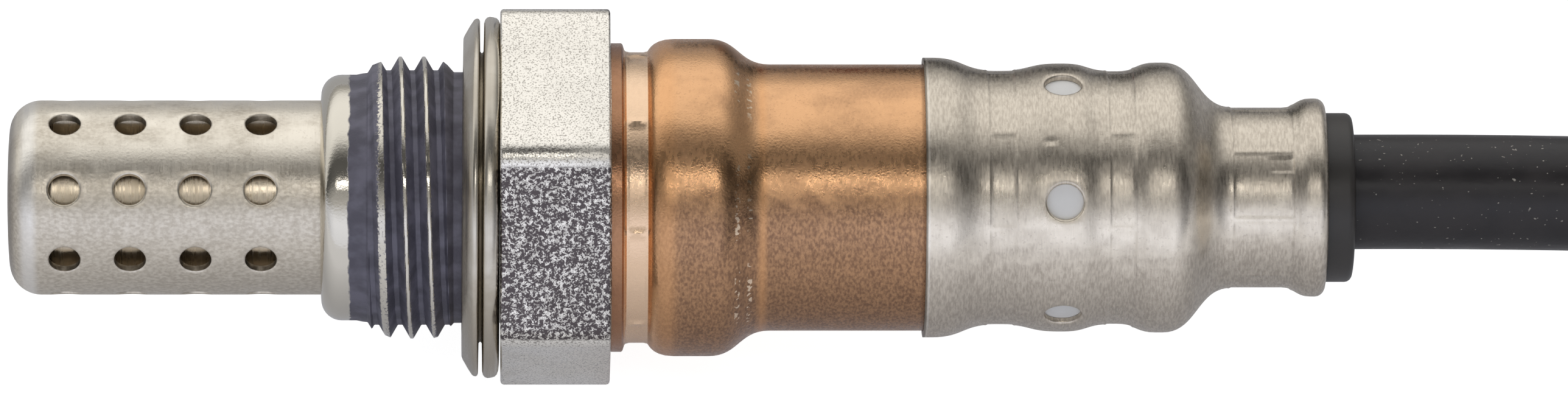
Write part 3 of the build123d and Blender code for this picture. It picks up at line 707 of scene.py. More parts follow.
@dataclass(frozen=True)
class TurnedSteel:
    """Bare sheet or bar steel with marks that run round the axis.

    The marks spread reflections along the axis, the stained clouds cloud them, and the pits grey them.
    Turning and grinding marks lie about 0.05 mm apart, which is too fine to show, so they are
    drawn 0.1 to 0.2 mm apart.

    A grain is a pattern's size in millimetres along the axis and across it, and levels are the
    noise at which a pattern starts and is full.

    Attributes:
        rough_levels: sum of marks and stained clouds at the two ends of the roughness.
        line: width of the marks in millimetres, with their length and depth in the next two.
        cloud: size of the stained clouds in millimetres, with their share and levels in the next two.
        pit: size of the pits in millimetres, with their depth, levels and grey in the next three.
        mottle: how much the stained clouds and the painted shade are broken up, with the pieces' grain
        and levels in the next two.
        dimple: depth in millimetres of the waves that drawing leaves, and in the next their grain.
        scuffs: stations of the rings that rubbed on a tool, with their half width, their colour,
            their flecks and their patches in the next six.
        shaded_sides: (angle, share) of each side that gets painted shade, with the station where they
        start, the grain of their ragged edge and its levels in the next three.
        bands: (front, rear, tint, share, softness) of each tinted ring; some rings are the metal's own
        tint, and some are painted shade and painted highlights.
    """

    name: str
    base: str
    stain_and_shade: str
    roughness: tuple[float, float] = (0.22, 0.36)
    rough_levels: tuple[float, float] = (0.75, 1.25)
    line: float = 0.14
    line_length: float = 9.0
    line_depth: float = 0.003
    cloud: float = 5.0
    cloud_share: float = 0.6
    cloud_levels: tuple[float, float] = (0.40, 0.68)
    pit: float = 0.35
    pit_depth: float = 0.004
    pit_levels: tuple[float, float] = (0.58, 0.74)
    pit_share: float = 0.28
    mottle: float = 0.0
    mottle_grain: tuple[float, float] = (0.16, 0.28)
    mottle_levels: tuple[float, float] = (0.30, 0.70)
    dimple: float = 0.0
    dimple_grain: tuple[float, float] = (1.8, 1.6)
    scuffs: tuple[float, ...] = ()
    scuff_half_width: float = 0.16
    scuff_colour: str = "#EFE9DC"
    fleck_grain: tuple[float, float] = (0.5, 0.28)
    fleck_levels: tuple[float, float] = (0.56, 0.62)
    patch_grain: tuple[float, float] = (40.0, 3.2)
    patch_levels: tuple[float, float] = (0.42, 0.55)
    shaded_sides: tuple[tuple[float, float], ...] = ()
    shade_from: float = -1.0
    shade_grain: tuple[float, float] = (1.2, 1.0)
    shade_levels: tuple[float, float] = (0.62, 0.95)
    bands: tuple[tuple[float, float, str, float, float], ...] = ()

    def stains_and_shade(self, sheet: Sheet, clouds: Any) -> Any:
        """Share of the darker colour: stained clouds, and painted shade with ragged edges on some sides,
        broken up by the mottle.

        Args:
            sheet: node tree of the material.
            clouds: output with the clouds' noise.

        Returns:
            Output with the share.
        """
        clouded = sheet.add("MapRange", (clouds, *self.cloud_levels), **SOFT)
        share = sheet.add("Math", (clouded, self.cloud_share), operation="MULTIPLY")
        # Painted shade: each side that faces a given angle is darkened towards the darker colour.
        for side, most in self.shaded_sides:
            inputs = (sheet.grain(*self.shade_grain, 4.0), 0.5, sheet.facing(side))
            edge = sheet.add("Math", inputs, operation="MULTIPLY_ADD")
            painted_shade = sheet.add("MapRange", (edge, *self.shade_levels, 0.0, most), **SOFT)
            start = sheet.add("MapRange", (sheet.station, self.shade_from, self.shade_from + 0.6), **SOFT)
            painted_shade = sheet.add("Math", (painted_shade, start), operation="MULTIPLY")
            share = sheet.add("Math", (share, painted_shade), operation="MAXIMUM")
        if self.mottle:
            broken = sheet.grain(*self.mottle_grain, 3.0)
            ends = (1.0 - self.mottle, 1.0 + self.mottle)
            spots = sheet.add("MapRange", (broken, *self.mottle_levels, *ends), **SOFT)
            share = sheet.add("Math", (share, spots), operation="MULTIPLY")
        return share

    def tinted(self, sheet: Sheet, colour: Any) -> Any:
        """Colour with the tinted rings laid over it, among them rings of painted shade and painted
        highlights.

        Args:
            sheet: node tree of the material.
            colour: output with the colour so far.

        Returns:
            Output with the colour.
        """
        for front, rear, tint, share, softness in self.bands:
            off = sheet.add("Math", (sheet.station, (front + rear) / 2), operation="SUBTRACT")
            off = sheet.add("Math", (off,), operation="ABSOLUTE")
            half = (rear - front) / 2
            inside = sheet.add("MapRange", (off, half - softness, half + softness, share, 0.0), **SOFT)
            colour = sheet.add("Mix", {0: inside, 6: colour, 7: linear(tint)}, **COLOURS)
        return colour

    def scuffed(self, sheet: Sheet, colour: Any) -> Any:
        """Colour with bright flecks, in patches, on the rings that rubbed on a tool.

        Args:
            sheet: node tree of the material.
            colour: output with the colour so far.

        Returns:
            Output with the colour.
        """
        inputs = (sheet.grain(*self.fleck_grain, 1.0), *self.fleck_levels)
        flecks = sheet.add("MapRange", inputs, **SOFT)
        inputs = (sheet.grain(*self.patch_grain, 1.0), *self.patch_levels)
        patches = sheet.add("MapRange", inputs, **SOFT)
        marks: Any = 0.0
        for station in self.scuffs:
            inputs = (sheet.station, station, self.scuff_half_width)
            near = sheet.add("Math", inputs, operation="COMPARE")
            marks = sheet.add("Math", (marks, near), operation="MAXIMUM")
        broken = sheet.add("Math", (flecks, patches), operation="MULTIPLY")
        marks = sheet.add("Math", (marks, broken), operation="MULTIPLY")
        return sheet.add("Mix", {0: marks, 6: colour, 7: linear(self.scuff_colour)}, **COLOURS)

    def material(self) -> bpy.types.Material:
        """Build the material.

        Returns:
            The material, under the finish's name.
        """
        sheet = Sheet(self.name)
        lines = sheet.grain(self.line, self.line_length, 3.0)
        clouds = sheet.grain(self.cloud, self.cloud * 0.7, 4.0)
        pits = sheet.grain(self.pit, self.pit, 2.0)
        stain_and_shade = linear(self.stain_and_shade)
        colour = sheet.add("Mix", {0: self.stains_and_shade(sheet, clouds), 6: linear(self.base), 7: stain_and_shade}, **COLOURS)
        pitted = sheet.add("MapRange", (pits, *self.pit_levels, 0.0, self.pit_share), **SOFT)
        colour = self.tinted(sheet, sheet.add("Mix", {0: pitted, 6: colour, 7: stain_and_shade}, **COLOURS))
        if self.scuffs:
            colour = self.scuffed(sheet, colour)
        uneven = sheet.add("Math", (lines, clouds), operation="ADD")
        rough = sheet.add("MapRange", (uneven, *self.rough_levels, *self.roughness), **SOFT)
        heights = [(lines, self.line_depth), (pits, self.pit_depth)]
        if self.dimple:
            heights.append((sheet.grain(*self.dimple_grain, 1.0), self.dimple))
        return sheet.finish(
            Base_Color=colour, Metallic=1.0, Roughness=rough, Normal=sheet.relief(heights)
        )


@dataclass(frozen=True)
class PlatedBar:
    """Nickel-plated hexagon bar, whose drawn skin is pitted under the plating.

    The pits throw sparkles on a flat that is lit at a slant, and grey specks on a bright one.
    Real ones are about 0.1 mm wide and are drawn near three times as wide, so that they show.
    One flat, and the one opposite it, get painted shade, which the bright specks break through.

    Attributes:
        pit_size: width of the pits in millimetres, and in the next their depth.
        fine_pits: how many times smaller the pits of the second size are.
        speck_levels: noise at which a fine pit starts to grey the metal and is full, and in the
            next its grey.
        shaded_side: angle of the flat that gets painted shade, with the edge of that shade in the next.
        shade_levels: noise between which the painted shade is left out, so that bright specks stay.
        patch: size in millimetres of the patches of duller plating, with their levels in the next.
    """

    name: str
    base: str
    pit: str
    painted_shade: str
    pit_size: float = 0.27
    pit_depth: float = 0.022
    fine_pits: float = 2.4
    speck_levels: tuple[float, float] = (0.50, 0.64)
    speck_share: float = 0.75
    shaded_side: float = 28.0
    shade_edge: tuple[float, float] = (0.880, 0.889)
    shade_levels: tuple[float, float] = (0.90, 0.98)
    patch: float = 4.0
    patch_levels: tuple[float, float] = (0.35, 0.65)
    roughness: tuple[float, float] = (0.16, 0.34)

    def material(self) -> bpy.types.Material:
        """Build the material.

        Returns:
            The material, under the finish's name.
        """
        sheet = Sheet(self.name)
        small = self.pit_size / self.fine_pits
        coarse = sheet.grain(self.pit_size, self.pit_size, 3.0)
        fine = sheet.grain(small, small, 3.0)
        patches = sheet.grain(self.patch, self.patch, 3.0)
        specks = sheet.add("MapRange", (fine, *self.speck_levels, 0.0, self.speck_share), **SOFT)
        colour = sheet.add("Mix", {0: specks, 6: linear(self.base), 7: linear(self.pit)}, **COLOURS)
        # Painted shade on the flat that faces the given side and on the one opposite it, left out at the
        # bright specks.
        across = sheet.add("Math", (sheet.facing(self.shaded_side),), operation="ABSOLUTE")
        flat = sheet.add("MapRange", (across, *self.shade_edge), **SOFT)
        both = sheet.add("Math", (coarse, 0.8, fine), operation="MULTIPLY_ADD")
        grey = sheet.add("MapRange", (both, *self.shade_levels, 1.0, 0.0), **SOFT)
        grey = sheet.add("Math", (flat, grey), operation="MULTIPLY")
        colour = sheet.add("Mix", {0: grey, 6: colour, 7: linear(self.painted_shade)}, **COLOURS)
        rough = sheet.add("MapRange", (patches, *self.patch_levels, *self.roughness), **SOFT)
        heights = [(coarse, self.pit_depth), (fine, self.pit_depth * 0.5)]
        return sheet.finish(
            Base_Color=colour, Metallic=1.0, Roughness=rough, Normal=sheet.relief(heights)
        )


@dataclass(frozen=True)
class CoatedShank:
    """Bright turned nose and a thread under matt anti-seize compound, worn through on its crests.

    The compound's metal flakes are about 0.05 mm across and are drawn three times as coarse.

    Attributes:
        coat_front: station where the compound starts, and in the next the grain of its ragged edge.
        coat_rear: station where it ends, in the groove behind the thread.
        worn_radius: radius past which the compound is worn off.
        run_in: stations of the low first turn, whose crest is worn too, and in the next how low it is.
        grit: size of the compound's grit in millimetres, and in the next its depth.
        patch_grain: size of the thin patches along the axis and across it, in millimetres.
        patch_levels: noise at which a thin patch starts and is full.
        line_grain: width and length of the turning marks in millimetres, and in the next their depth.
        roughness: of the metal and of the compound, and in the next how metallic both are.
    """

    name: str
    metal: str
    compound: str
    compound_thin: str
    coat_front: float = 21.75
    edge_grain: tuple[float, float] = (0.6, 0.9)
    coat_rear: float = 28.95
    worn_radius: float = 8.90
    run_in: tuple[float, float] = (23.7, 24.5)
    run_in_drop: float = 0.3
    grit: float = 0.16
    grit_depth: float = 0.03
    patch_grain: tuple[float, float] = (2.0, 1.4)
    patch_levels: tuple[float, float] = (0.35, 0.65)
    line_grain: tuple[float, float] = (0.12, 9.0)
    line_depth: float = 0.0015
    roughness: tuple[float, float] = (0.11, 0.55)
    metallic: tuple[float, float] = (1.0, 0.25)

    def coat(self, sheet: Sheet, grit: Any) -> Any:
        """Share of the compound: 1 where it covers the metal and 0 where it is bare.

        Args:
            sheet: node tree of the material.
            grit: output with the noise of the compound's grit.

        Returns:
            Output with the share.
        """
        ragged = sheet.grain(*self.edge_grain, 3.0)
        edge = sheet.add("Math", (ragged, 0.5, sheet.station), operation="MULTIPLY_ADD")
        front = sheet.add("MapRange", (edge, self.coat_front + 0.2, self.coat_front + 0.34), **SOFT)
        rear = sheet.add("MapRange", (sheet.station, self.coat_rear, self.coat_rear + 0.1, 1.0, 0.0), **SOFT)
        crest = sheet.add("Math", (grit, 0.3, sheet.radius), operation="MULTIPLY_ADD")
        low = sheet.add("MapRange", (sheet.station, *self.run_in, self.run_in_drop, 0.0), **SOFT)
        crest = sheet.add("Math", (crest, low), operation="ADD")
        worn = sheet.add("MapRange", (crest, self.worn_radius + 0.14, self.worn_radius + 0.22), **SOFT)
        between = sheet.add("Math", (front, rear), operation="MULTIPLY")
        left = sheet.add("Math", (1.0, worn), operation="SUBTRACT")
        return sheet.add("Math", (between, left), operation="MULTIPLY")

    def material(self) -> bpy.types.Material:
        """Build the material.

        Returns:
            The material, under the finish's name.
        """
        sheet = Sheet(self.name)
        grit = sheet.grain(self.grit, self.grit, 3.0)
        coat = self.coat(sheet, grit)
        inputs = (sheet.grain(*self.patch_grain, 3.0), *self.patch_levels)
        thin = sheet.add("MapRange", inputs, **SOFT)
        inputs = {0: thin, 6: linear(self.compound), 7: linear(self.compound_thin)}
        paste = sheet.add("Mix", inputs, **COLOURS)
        raised = sheet.add("MapRange", (coat, 0.0, 1.0, 0.25, 1.0), **SOFT)
        lumps = sheet.add("Math", (grit, raised), operation="MULTIPLY")
        lines = sheet.grain(*self.line_grain, 2.0)
        return sheet.finish(
            Base_Color=sheet.add("Mix", {0: coat, 6: linear(self.metal), 7: paste}, **COLOURS),
            Metallic=sheet.add("MapRange", (coat, 0.0, 1.0, *self.metallic), **SOFT),
            Roughness=sheet.add("MapRange", (coat, 0.0, 1.0, *self.roughness), **SOFT),
            Normal=sheet.relief([(lumps, self.grit_depth), (lines, self.line_depth)]),
        )


@dataclass(frozen=True)
class Moulded:
    """Moulded or extruded polymer, rubber or pressed ceramic, with a fine skin texture.

    The texture of a moulded or pressed skin is 0.05 to 0.2 mm and is drawn two or three times as
    coarse, so that it breaks up the highlights.

    Attributes:
        skin: grain of the skin in millimetres, and in the next its depth.
        patch: size in millimetres of the patches between the two colours and roughnesses.
        patch_levels: noise at which a patch starts and is full.
        dust: noise at which dust starts and is full, or none, with its grain and colour in the
            next two.
    """

    name: str
    base: str
    light: str
    roughness: tuple[float, float]
    ior: float = 1.5
    skin: float = 0.3
    skin_depth: float = 0.01
    patch: float = 4.0
    patch_levels: tuple[float, float] = (0.35, 0.65)
    dust: tuple[float, ...] = ()
    dust_grain: tuple[float, float] = (0.32, 0.22)
    dust_colour: str = "#9B958C"

    def material(self) -> bpy.types.Material:
        """Build the material.

        Returns:
            The material, under the finish's name.
        """
        sheet = Sheet(self.name)
        uneven = sheet.grain(self.patch, self.patch, 3.0)
        patches = sheet.add("MapRange", (uneven, *self.patch_levels), **SOFT)
        colour = sheet.add("Mix", {0: patches, 6: linear(self.base), 7: linear(self.light)}, **COLOURS)
        if self.dust:
            specks = sheet.add("MapRange", (sheet.grain(*self.dust_grain, 1.0), *self.dust), **SOFT)
            colour = sheet.add("Mix", {0: specks, 6: colour, 7: linear(self.dust_colour)}, **COLOURS)
        rough = sheet.add("MapRange", (uneven, *self.patch_levels, *self.roughness), **SOFT)
        skin = sheet.grain(self.skin, self.skin, 2.0)
        return sheet.finish(
            Base_Color=colour, Roughness=rough, IOR=self.ior, Normal=sheet.relief([(skin, self.skin_depth)])
        )


# Belt-ground: a satin grey sheen, cloudy with handling, with painted shade on its front side and round
# the closed end's rim, and a painted highlight just behind that rim.
TUBE_STEEL = TurnedSteel(
    "ground heat-resistant stainless steel", base="#EFE7D8", stain_and_shade="#B0A594", roughness=(0.31, 0.42),
    line=0.12, line_length=1.2, line_depth=0.009, cloud=3.5, cloud_share=0.5, pit=0.19, pit_depth=0.012,
    # Painted shade on the side that faces the front.
    mottle=0.4, mottle_grain=(0.3, 0.2), shaded_sides=((5.0, 0.5),),
    # The first band is painted shade round the closed end's rim, and the second a painted highlight behind
    # it.
    bands=((-0.45, 0.45, "#6B625D", 0.55, 0.25), (0.95, 1.85, "#F9F6F0", 0.6, 0.3)),
)
# Drawn and tinted by the first heat: straw yellow behind the gas holes, with fine drawing lines.
INNER_TUBE_STEEL = TurnedSteel(
    "straw-tinted stainless steel", base="#D8CBB6", stain_and_shade="#A18C68", roughness=(0.2, 0.34),
    line=0.11, line_depth=0.016, cloud_share=0.4,
)
# Drawn and heat-tinted in a furnace: a bronze sheen with painted shade low on its front side, painted
# highlights on the bulge's two slopes, a painted shadow under the cap's mouth, and bright scuffs behind the
# roll.
SLEEVE_STEEL = TurnedSteel(
    "bronze heat-tinted stainless steel", base="#E3B183", stain_and_shade="#876751", roughness=(0.22, 0.33),
    line=0.2, line_length=0.45, line_depth=0.005, cloud=3.2, cloud_share=0.3, pit=0.14, pit_depth=0.012,
    mottle=0.28, dimple=0.012, scuffs=(46.36, 47.15), scuff_colour="#F0D6B8",
    # Painted shade low on the front side, from behind the groove.
    shaded_sides=((-10.0, 0.76),), shade_from=40.9,
    bands=(
        (38.0, 39.2, "#8A5F4B", 0.7, 0.02), (39.2, 40.75, "#F1D3B4", 0.8, 0.04),
        # The band from 58.1 to 58.6 is a painted shadow under the cap's mouth; those from 41.1 to 42.4 and
        # 47.7 to 48.2 are painted highlights on the bulge's slopes.
        (58.1, 58.6, "#6E4C36", 0.5, 0.1), (41.1, 42.4, "#E9AE78", 0.45, 0.5),
        (47.7, 48.2, "#E9AE78", 0.5, 0.25),
    ),
)
# Deep-drawn and tumbled: a pale grey, slightly dimpled sheen with short scratches, painted shade on its top
# and low on its front side, a painted shadow with dirt in its mouth and a thin painted highlight on the
# mouth's edge.
CAP_STEEL = TurnedSteel(
    "deep-drawn stainless steel", base="#EFE5D4", stain_and_shade="#A2978A", roughness=(0.26, 0.37),
    line=0.13, line_length=0.9, line_depth=0.005, cloud=2.4, cloud_share=0.22, pit=0.2, pit_depth=0.006,
    # Painted shade on the top side and low on the front side.
    mottle=0.35, mottle_grain=(0.12, 0.5), dimple=0.02, shaded_sides=((98.0, 0.5), (-36.0, 0.55)),
    # The dark band at the mouth is a painted shadow with dirt, and the pale one just behind it is a painted
    # highlight on the mouth's edge.
    bands=((58.2, 58.42, "#5F564C", 0.7, 0.04), (58.46, 58.56, "#F4EFE6", 0.4, 0.04)),
)
# Rolled from soft strip: smooth and bright, with painted shade low on its front side.
GASKET_STEEL = TurnedSteel(
    "rolled soft stainless steel", base="#D2CBBE", stain_and_shade="#B5AC9C", roughness=(0.2, 0.32), line=0.1,
    # Painted shade low on the front side.
    shaded_sides=((-38.0, 0.9),),
)
# Oiled mild steel: a plain mid grey.
PLAIN_STEEL = TurnedSteel("plain steel", base="#B9B8B5", stain_and_shade="#8F8D89")
# Stamped from bright strip: a warm, pale metal.
CONTACT_ALLOY = TurnedSteel("nickel spring alloy", base="#D3CBBB", stain_and_shade="#B1A794")
# Tin-plated: silvery with a trace of the brass.
TINNED_BRASS = TurnedSteel("tinned brass", base="#DDD5C3", stain_and_shade="#C2B592")
# Plated over the bar's drawn skin: white metal that sparkles, with grey specks in its pits and painted
# shade on the front flat and the one opposite, broken by bright specks.
HEX_STEEL = PlatedBar("nickel-plated drawn hexagon bar", base="#F2EDE3", pit="#8B857D", painted_shade="#585151")
# Fine-turned and greased: a mirror on the nose, blue-grey and gritty on the thread.
SHANK_STEEL = CoatedShank(
    "turned steel with anti-seize compound", metal="#D9D3C6", compound="#7A7885", compound_thin="#5F5D68"
)
# Moulded against polished steel: soft black with a low sheen.
FLUORO_RUBBER = Moulded(
    "black fluoroelastomer", "#33302D", "#413D39", (0.36, 0.46), skin=0.2, skin_depth=0.006
)
# Extruded and powdered: satin black that holds a few specks of dust.
CABLE_SILICONE = Moulded(
    "black silicone hose", "#252223", "#322E2E", (0.32, 0.42), ior=1.43, skin=0.6, skin_depth=0.02,
    dust=(0.72, 0.75),
)
# Moulded in an eroded tool: dull black.
BOOT_SILICONE = Moulded("black silicone moulding", "#1D1C1E", "#272628", (0.5, 0.6), ior=1.43)
# Moulded and pigmented with iron oxide: matt red-brown.
SEAL_SILICONE = Moulded("red-brown silicone", "#A04A2C", "#8C3F27", (0.4, 0.5), ior=1.43)
# Moulded with glass fibre: matt black, with fibres that roughen the skin.
BLACK_POLYAMIDE = Moulded(
    "black glass-filled polyamide", "#1C1D1F", "#252628", (0.42, 0.56), ior=1.53, skin=0.12, skin_depth=0.006
)
# Moulded polyester: an even grey-blue.
LOCK_POLYESTER = Moulded("grey-blue polyester", "#5E6772", "#515A65", (0.4, 0.5), ior=1.57, skin_depth=0.004)
# Stretched until it is full of pores: a chalky white.
POROUS_PTFE = Moulded("porous PTFE membrane", "#FCFBF9", "#F6F5F2", (0.6, 0.75), ior=1.35, skin=0.15)
# Extruded PTFE: waxy and slightly glossy, in the leads' three colours.
BLACK_PTFE = Moulded("black PTFE insulation", "#1F1F20", "#28282A", (0.35, 0.45), ior=1.35)
GREY_PTFE = Moulded("grey PTFE insulation", "#83868A", "#777A7E", (0.35, 0.45), ior=1.35)
WHITE_PTFE = Moulded("white PTFE insulation", "#E9E7E2", "#DDDAD4", (0.35, 0.45), ior=1.35)
# Pressed and sintered: ivory zirconia with a faint sheen, and whiter alumina.
ZIRCONIA = Moulded("sintered zirconia", "#EDE7D8", "#E0D8C6", (0.5, 0.62), ior=2.0, skin_depth=0.004)
ALUMINA = Moulded("sintered alumina", "#E4E3DF", "#D8D6D1", (0.5, 0.62), ior=1.76, skin_depth=0.004)
# Pressed powders: creamy matt steatite, and grey-white talc like packed chalk.
STEATITE = Moulded("pressed steatite", "#E6E1D6", "#D9D3C6", (0.55, 0.68), ior=1.6, skin_depth=0.006)
TALC = Moulded("pressed talc", "#D5D2C9", "#C7C3B9", (0.8, 0.9), ior=1.54, skin_depth=0.015)


# ---------------------------------------------------------------- gas end
@dataclass
class GasEnd:
    """Perforated outer protection tube, with the inner tube seen through its holes.

    Attributes:
        crown: (station, radius) of the points across the slightly domed end.
        corner: radius of the bend between the end and the side, and in the next where it starts.
        plain_rows: stations of the rows between the holes and the flange.
        holes: first ring of holes, with the rings' pitch and their number in the next two.
    """

    radius: float = 6.195
    wall: float = 0.5
    crown: tuple[tuple[float, float], ...] = ((0.0, 0.0), (0.01, 1.4), (0.04, 2.8), (0.08, 3.7))
    corner: float = 2.0
    corner_front: float = 0.12
    plain_rows: tuple[float, ...] = (18.2, 18.8, 19.3, 19.7, 20.2)
    length: float = 20.6
    flange_radius: float = 7.1
    holes: HoleRing = HoleRing(
        station=3.73, radius=1.0, rim=0.13, block=1.5, half_rows=6, half_columns=6, count=8, first_angle=51.4
    )
    ring_pitch: float = 4.15
    ring_count: int = 4
    columns: int = 160

    def build(self, nodes: dict[str, bpy.types.Object]) -> None:
        """Make the outer tube and dress the inner one.

        Args:
            nodes: CAD nodes by name.
        """
        rings = [
            replace(self.holes, station=self.holes.station + self.ring_pitch * place)
            for place in range(self.ring_count)
        ]
        rows = [Row(station, radius) for station, radius in self.crown]
        rows += [
            Row(self.corner_front + along, self.radius - inwards)
            for along, inwards in round_edge(self.corner, 12)
        ]
        rows += [Row(station, self.radius) for ring in rings for station in ring.stations()]
        rows += [Row(station, self.radius) for station in (*self.plain_rows, self.length)]
        rows.append(Row(self.length, self.flange_radius))
        end = [Row(self.length + self.wall, self.flange_radius)]
        holes = [hole for ring in rings for hole in ring.holes(rows, self.columns)]
        skin = TurnedSkin(
            sheet_rows(rows, self.wall, end), self.columns, self.holes.first_angle, wall=self.wall,
            holes=holes,
        )
        tube = skin.build("perforated_tube")
        dress(tube, TUBE_STEEL.material())
        mount(tube, "tube_steel", "outer_protection_tube")
        dress(nodes["inner_protection_tube"], INNER_TUBE_STEEL.material())


# ---------------------------------------------------------------- housing and gasket
@dataclass
class Housing:
    """Threaded and coated shank, hexagon and collar, turned from one bar.

    Attributes:
        nose_rows: stations of the last two rows of the plain nose.
        thread_step: distance between the rows that carry the thread.
        relief_front: station where the groove behind the thread starts.
        face_radius: of the turned faces at the hexagon's two ends.
        edge_break: radius of the hexagon's edges at its two faces.
        collar: (station, radius) behind the hexagon, with the groove that the sleeve is rolled into.
        bore: (station, radius) from the rear rim forward to the nose.
    """

    nose_face: float = 19.95
    nose_radius: float = 7.84
    nose_round: float = 1.3
    nose_rows: tuple[float, float] = (21.6, 22.2)
    thread_front: float = 22.6
    thread_rear: float = 28.5
    thread_step: float = 0.055
    thread: Thread = Thread(
        pitch=1.5, crest_station=25.55, crest_radius=9.0, root_radius=8.12, crest_flat=0.17,
        envelope=(
            (22.4, 7.9), (22.9, 7.95), (23.2, 8.45), (23.7, 8.65), (24.4, 8.95), (24.8, 9.0),
            (27.0, 9.0), (27.5, 8.86), (28.0, 8.45), (28.4, 8.0), (29.0, 8.0),
        ),
    )
    relief_front: float = 28.56
    relief_radius: float = 8.0
    seat: float = 31.36
    face_radius: float = 10.2
    hex_length: float = 7.0
    half_flats: float = 11.0
    hexagon: Hexagon = Hexagon(corner_radius=1.7)
    edge_break: float = 0.22
    collar: tuple[tuple[float, float], ...] = (
        (38.36, 9.35), (38.96, 9.35), (39.3, 8.82), (41.1, 8.82), (42.4, 9.4), (44.6, 9.4), (45.85, 8.37)
    )
    bore: tuple[tuple[float, float], ...] = (
        (45.85, 4.9), (44.85, 4.9), (44.85, 6.0), (30.25, 6.0), (30.25, 4.4), (21.55, 4.4), (21.55, 7.15),
        (20.55, 7.15), (20.55, 6.25),
    )
    columns: int = 384

    def rows(self) -> list[Row]:
        """Work out the closed section of the housing.

        Returns:
            Rows from the nose round the outside and back through the bore.
        """
        rows = [Row(self.nose_face, self.bore[-1][1])]
        rows += [
            Row(self.nose_face + along, self.nose_radius - inwards)
            for along, inwards in round_edge(self.nose_round, 9)
        ]
        rows += [Row(station, self.nose_radius) for station in self.nose_rows]
        run = self.thread_rear - self.thread_front
        count = round(run / self.thread_step)
        rows += [
            Row(self.thread_front + run * place / count, self.thread.root_radius, RowForm.THREAD)
            for place in range(count + 1)
        ]
        rows += [Row(self.relief_front, self.relief_radius), Row(self.seat, self.relief_radius)]
        rows.append(Row(self.seat, self.face_radius))
        end = self.seat + self.hex_length
        edges = round_edge(self.edge_break, 3)
        flats = [(self.seat + along, self.half_flats - inwards) for along, inwards in edges]
        flats += [(self.seat + part * self.hex_length, self.half_flats) for part in (0.25, 0.5, 0.75)]
        flats += [(end - along, self.half_flats - inwards) for along, inwards in edges[::-1]]
        rows += [Row(station, half_width, RowForm.HEXAGON) for station, half_width in flats]
        rows.append(Row(end, self.face_radius))
        return rows + [Row(station, radius) for station, radius in self.collar + self.bore]

    def build(self) -> None:
        """Make the housing, coated in front of its seat and plated behind it."""
        skin = TurnedSkin(
            self.rows(), self.columns, thread=self.thread, hexagon=self.hexagon, sharp_angle=24.0
        )
        body = skin.build("threaded_housing")
        dress(body, SHANK_STEEL.material(), HEX_STEEL.material())
        border = on_axis(self.seat - 0.2, 0.0, 0.0).x
        for face in body.data.polygons:
            face.material_index = 1 if face.center.x > border else 0
        mount(body, "housing_steel", "housing")


@dataclass
class CrushGasket:
    """Ring rolled from soft sheet, whose two outer leaves stand apart at the rim.

    Attributes:
        front_leaf: (station, radius) over the front leaf, from the bore out and into the gap.
        rear_leaf: (station, radius) out of the gap and over the rear leaf, to the bore.
        wave: height of the waves that rolling left in the rim, and in the next where they start.
        lean: angle in degrees by which the ring leans on the shank, and in the next towards where.
    """

    front_leaf: tuple[tuple[float, float], ...] = (
        (28.95, 8.10), (28.95, 10.15), (29.03, 10.35), (29.36, 10.93), (29.61, 11.31), (29.71, 11.39),
        (29.83, 11.42), (29.94, 11.38), (30.00, 11.25), (30.01, 10.2), (30.03, 9.3), (30.13, 9.2),
    )
    rear_leaf: tuple[tuple[float, float], ...] = (
        (30.23, 9.3), (30.25, 10.2), (30.26, 11.1), (30.32, 11.33), (30.44, 11.47), (30.62, 11.53),
        (30.84, 11.50), (31.06, 11.44), (31.20, 11.30), (31.29, 11.05), (31.33, 10.6), (31.34, 9.9),
        (31.34, 8.10),
    )
    wave: float = 0.012
    wave_from: tuple[float, float] = (29.0, 29.6)
    lean: float = 0.35
    lean_angle: float = 136.7
    columns: int = 240

    def relief(self, station: float, angle: float) -> float:
        """Small waves that the rim got when the sheet was rolled.

        Args:
            station: place along the axis.
            angle: direction round the axis.

        Returns:
            Height in millimetres.
        """
        wave = math.sin(math.radians(3 * angle + 40)) + 0.6 * math.sin(math.radians(7 * angle))
        return self.wave * wave * smooth(*self.wave_from, station)

    def build(self) -> None:
        """Make the gasket."""
        skin = TurnedSkin(
            [Row(station, radius) for station, radius in self.front_leaf + self.rear_leaf], self.columns,
            relief=self.relief, lean=self.lean, lean_angle=self.lean_angle, sharp_angle=50.0,
        )
        ring = skin.build("folded_gasket")
        dress(ring, GASKET_STEEL.material())
        mount(ring, "gasket_steel", "sealing_gasket")


# ---------------------------------------------------------------- sleeve and rear cap
@dataclass(frozen=True)
class Jaws:
    """Crimping tool whose jaws leave seams at equal angles."""

    count: int = 8
    first_angle: float = 77.2
    seam_half_width: float = 0.16
    seam_soft: float = 0.12

    def seam(self, angle: float, radius: float) -> float:
        """Find how far a place is on a seam.

        Args:
            angle: direction round the axis.
            radius: of the crimped sheet.

        Returns:
            1 on a seam and 0 under a jaw.
        """
        pitch = 360 / self.count
        off = abs(turn_between(angle - self.first_angle, 0)) % pitch
        off = math.radians(min(off, pitch - off)) * radius
        return bump(0.0, self.seam_half_width, self.seam_soft, off)


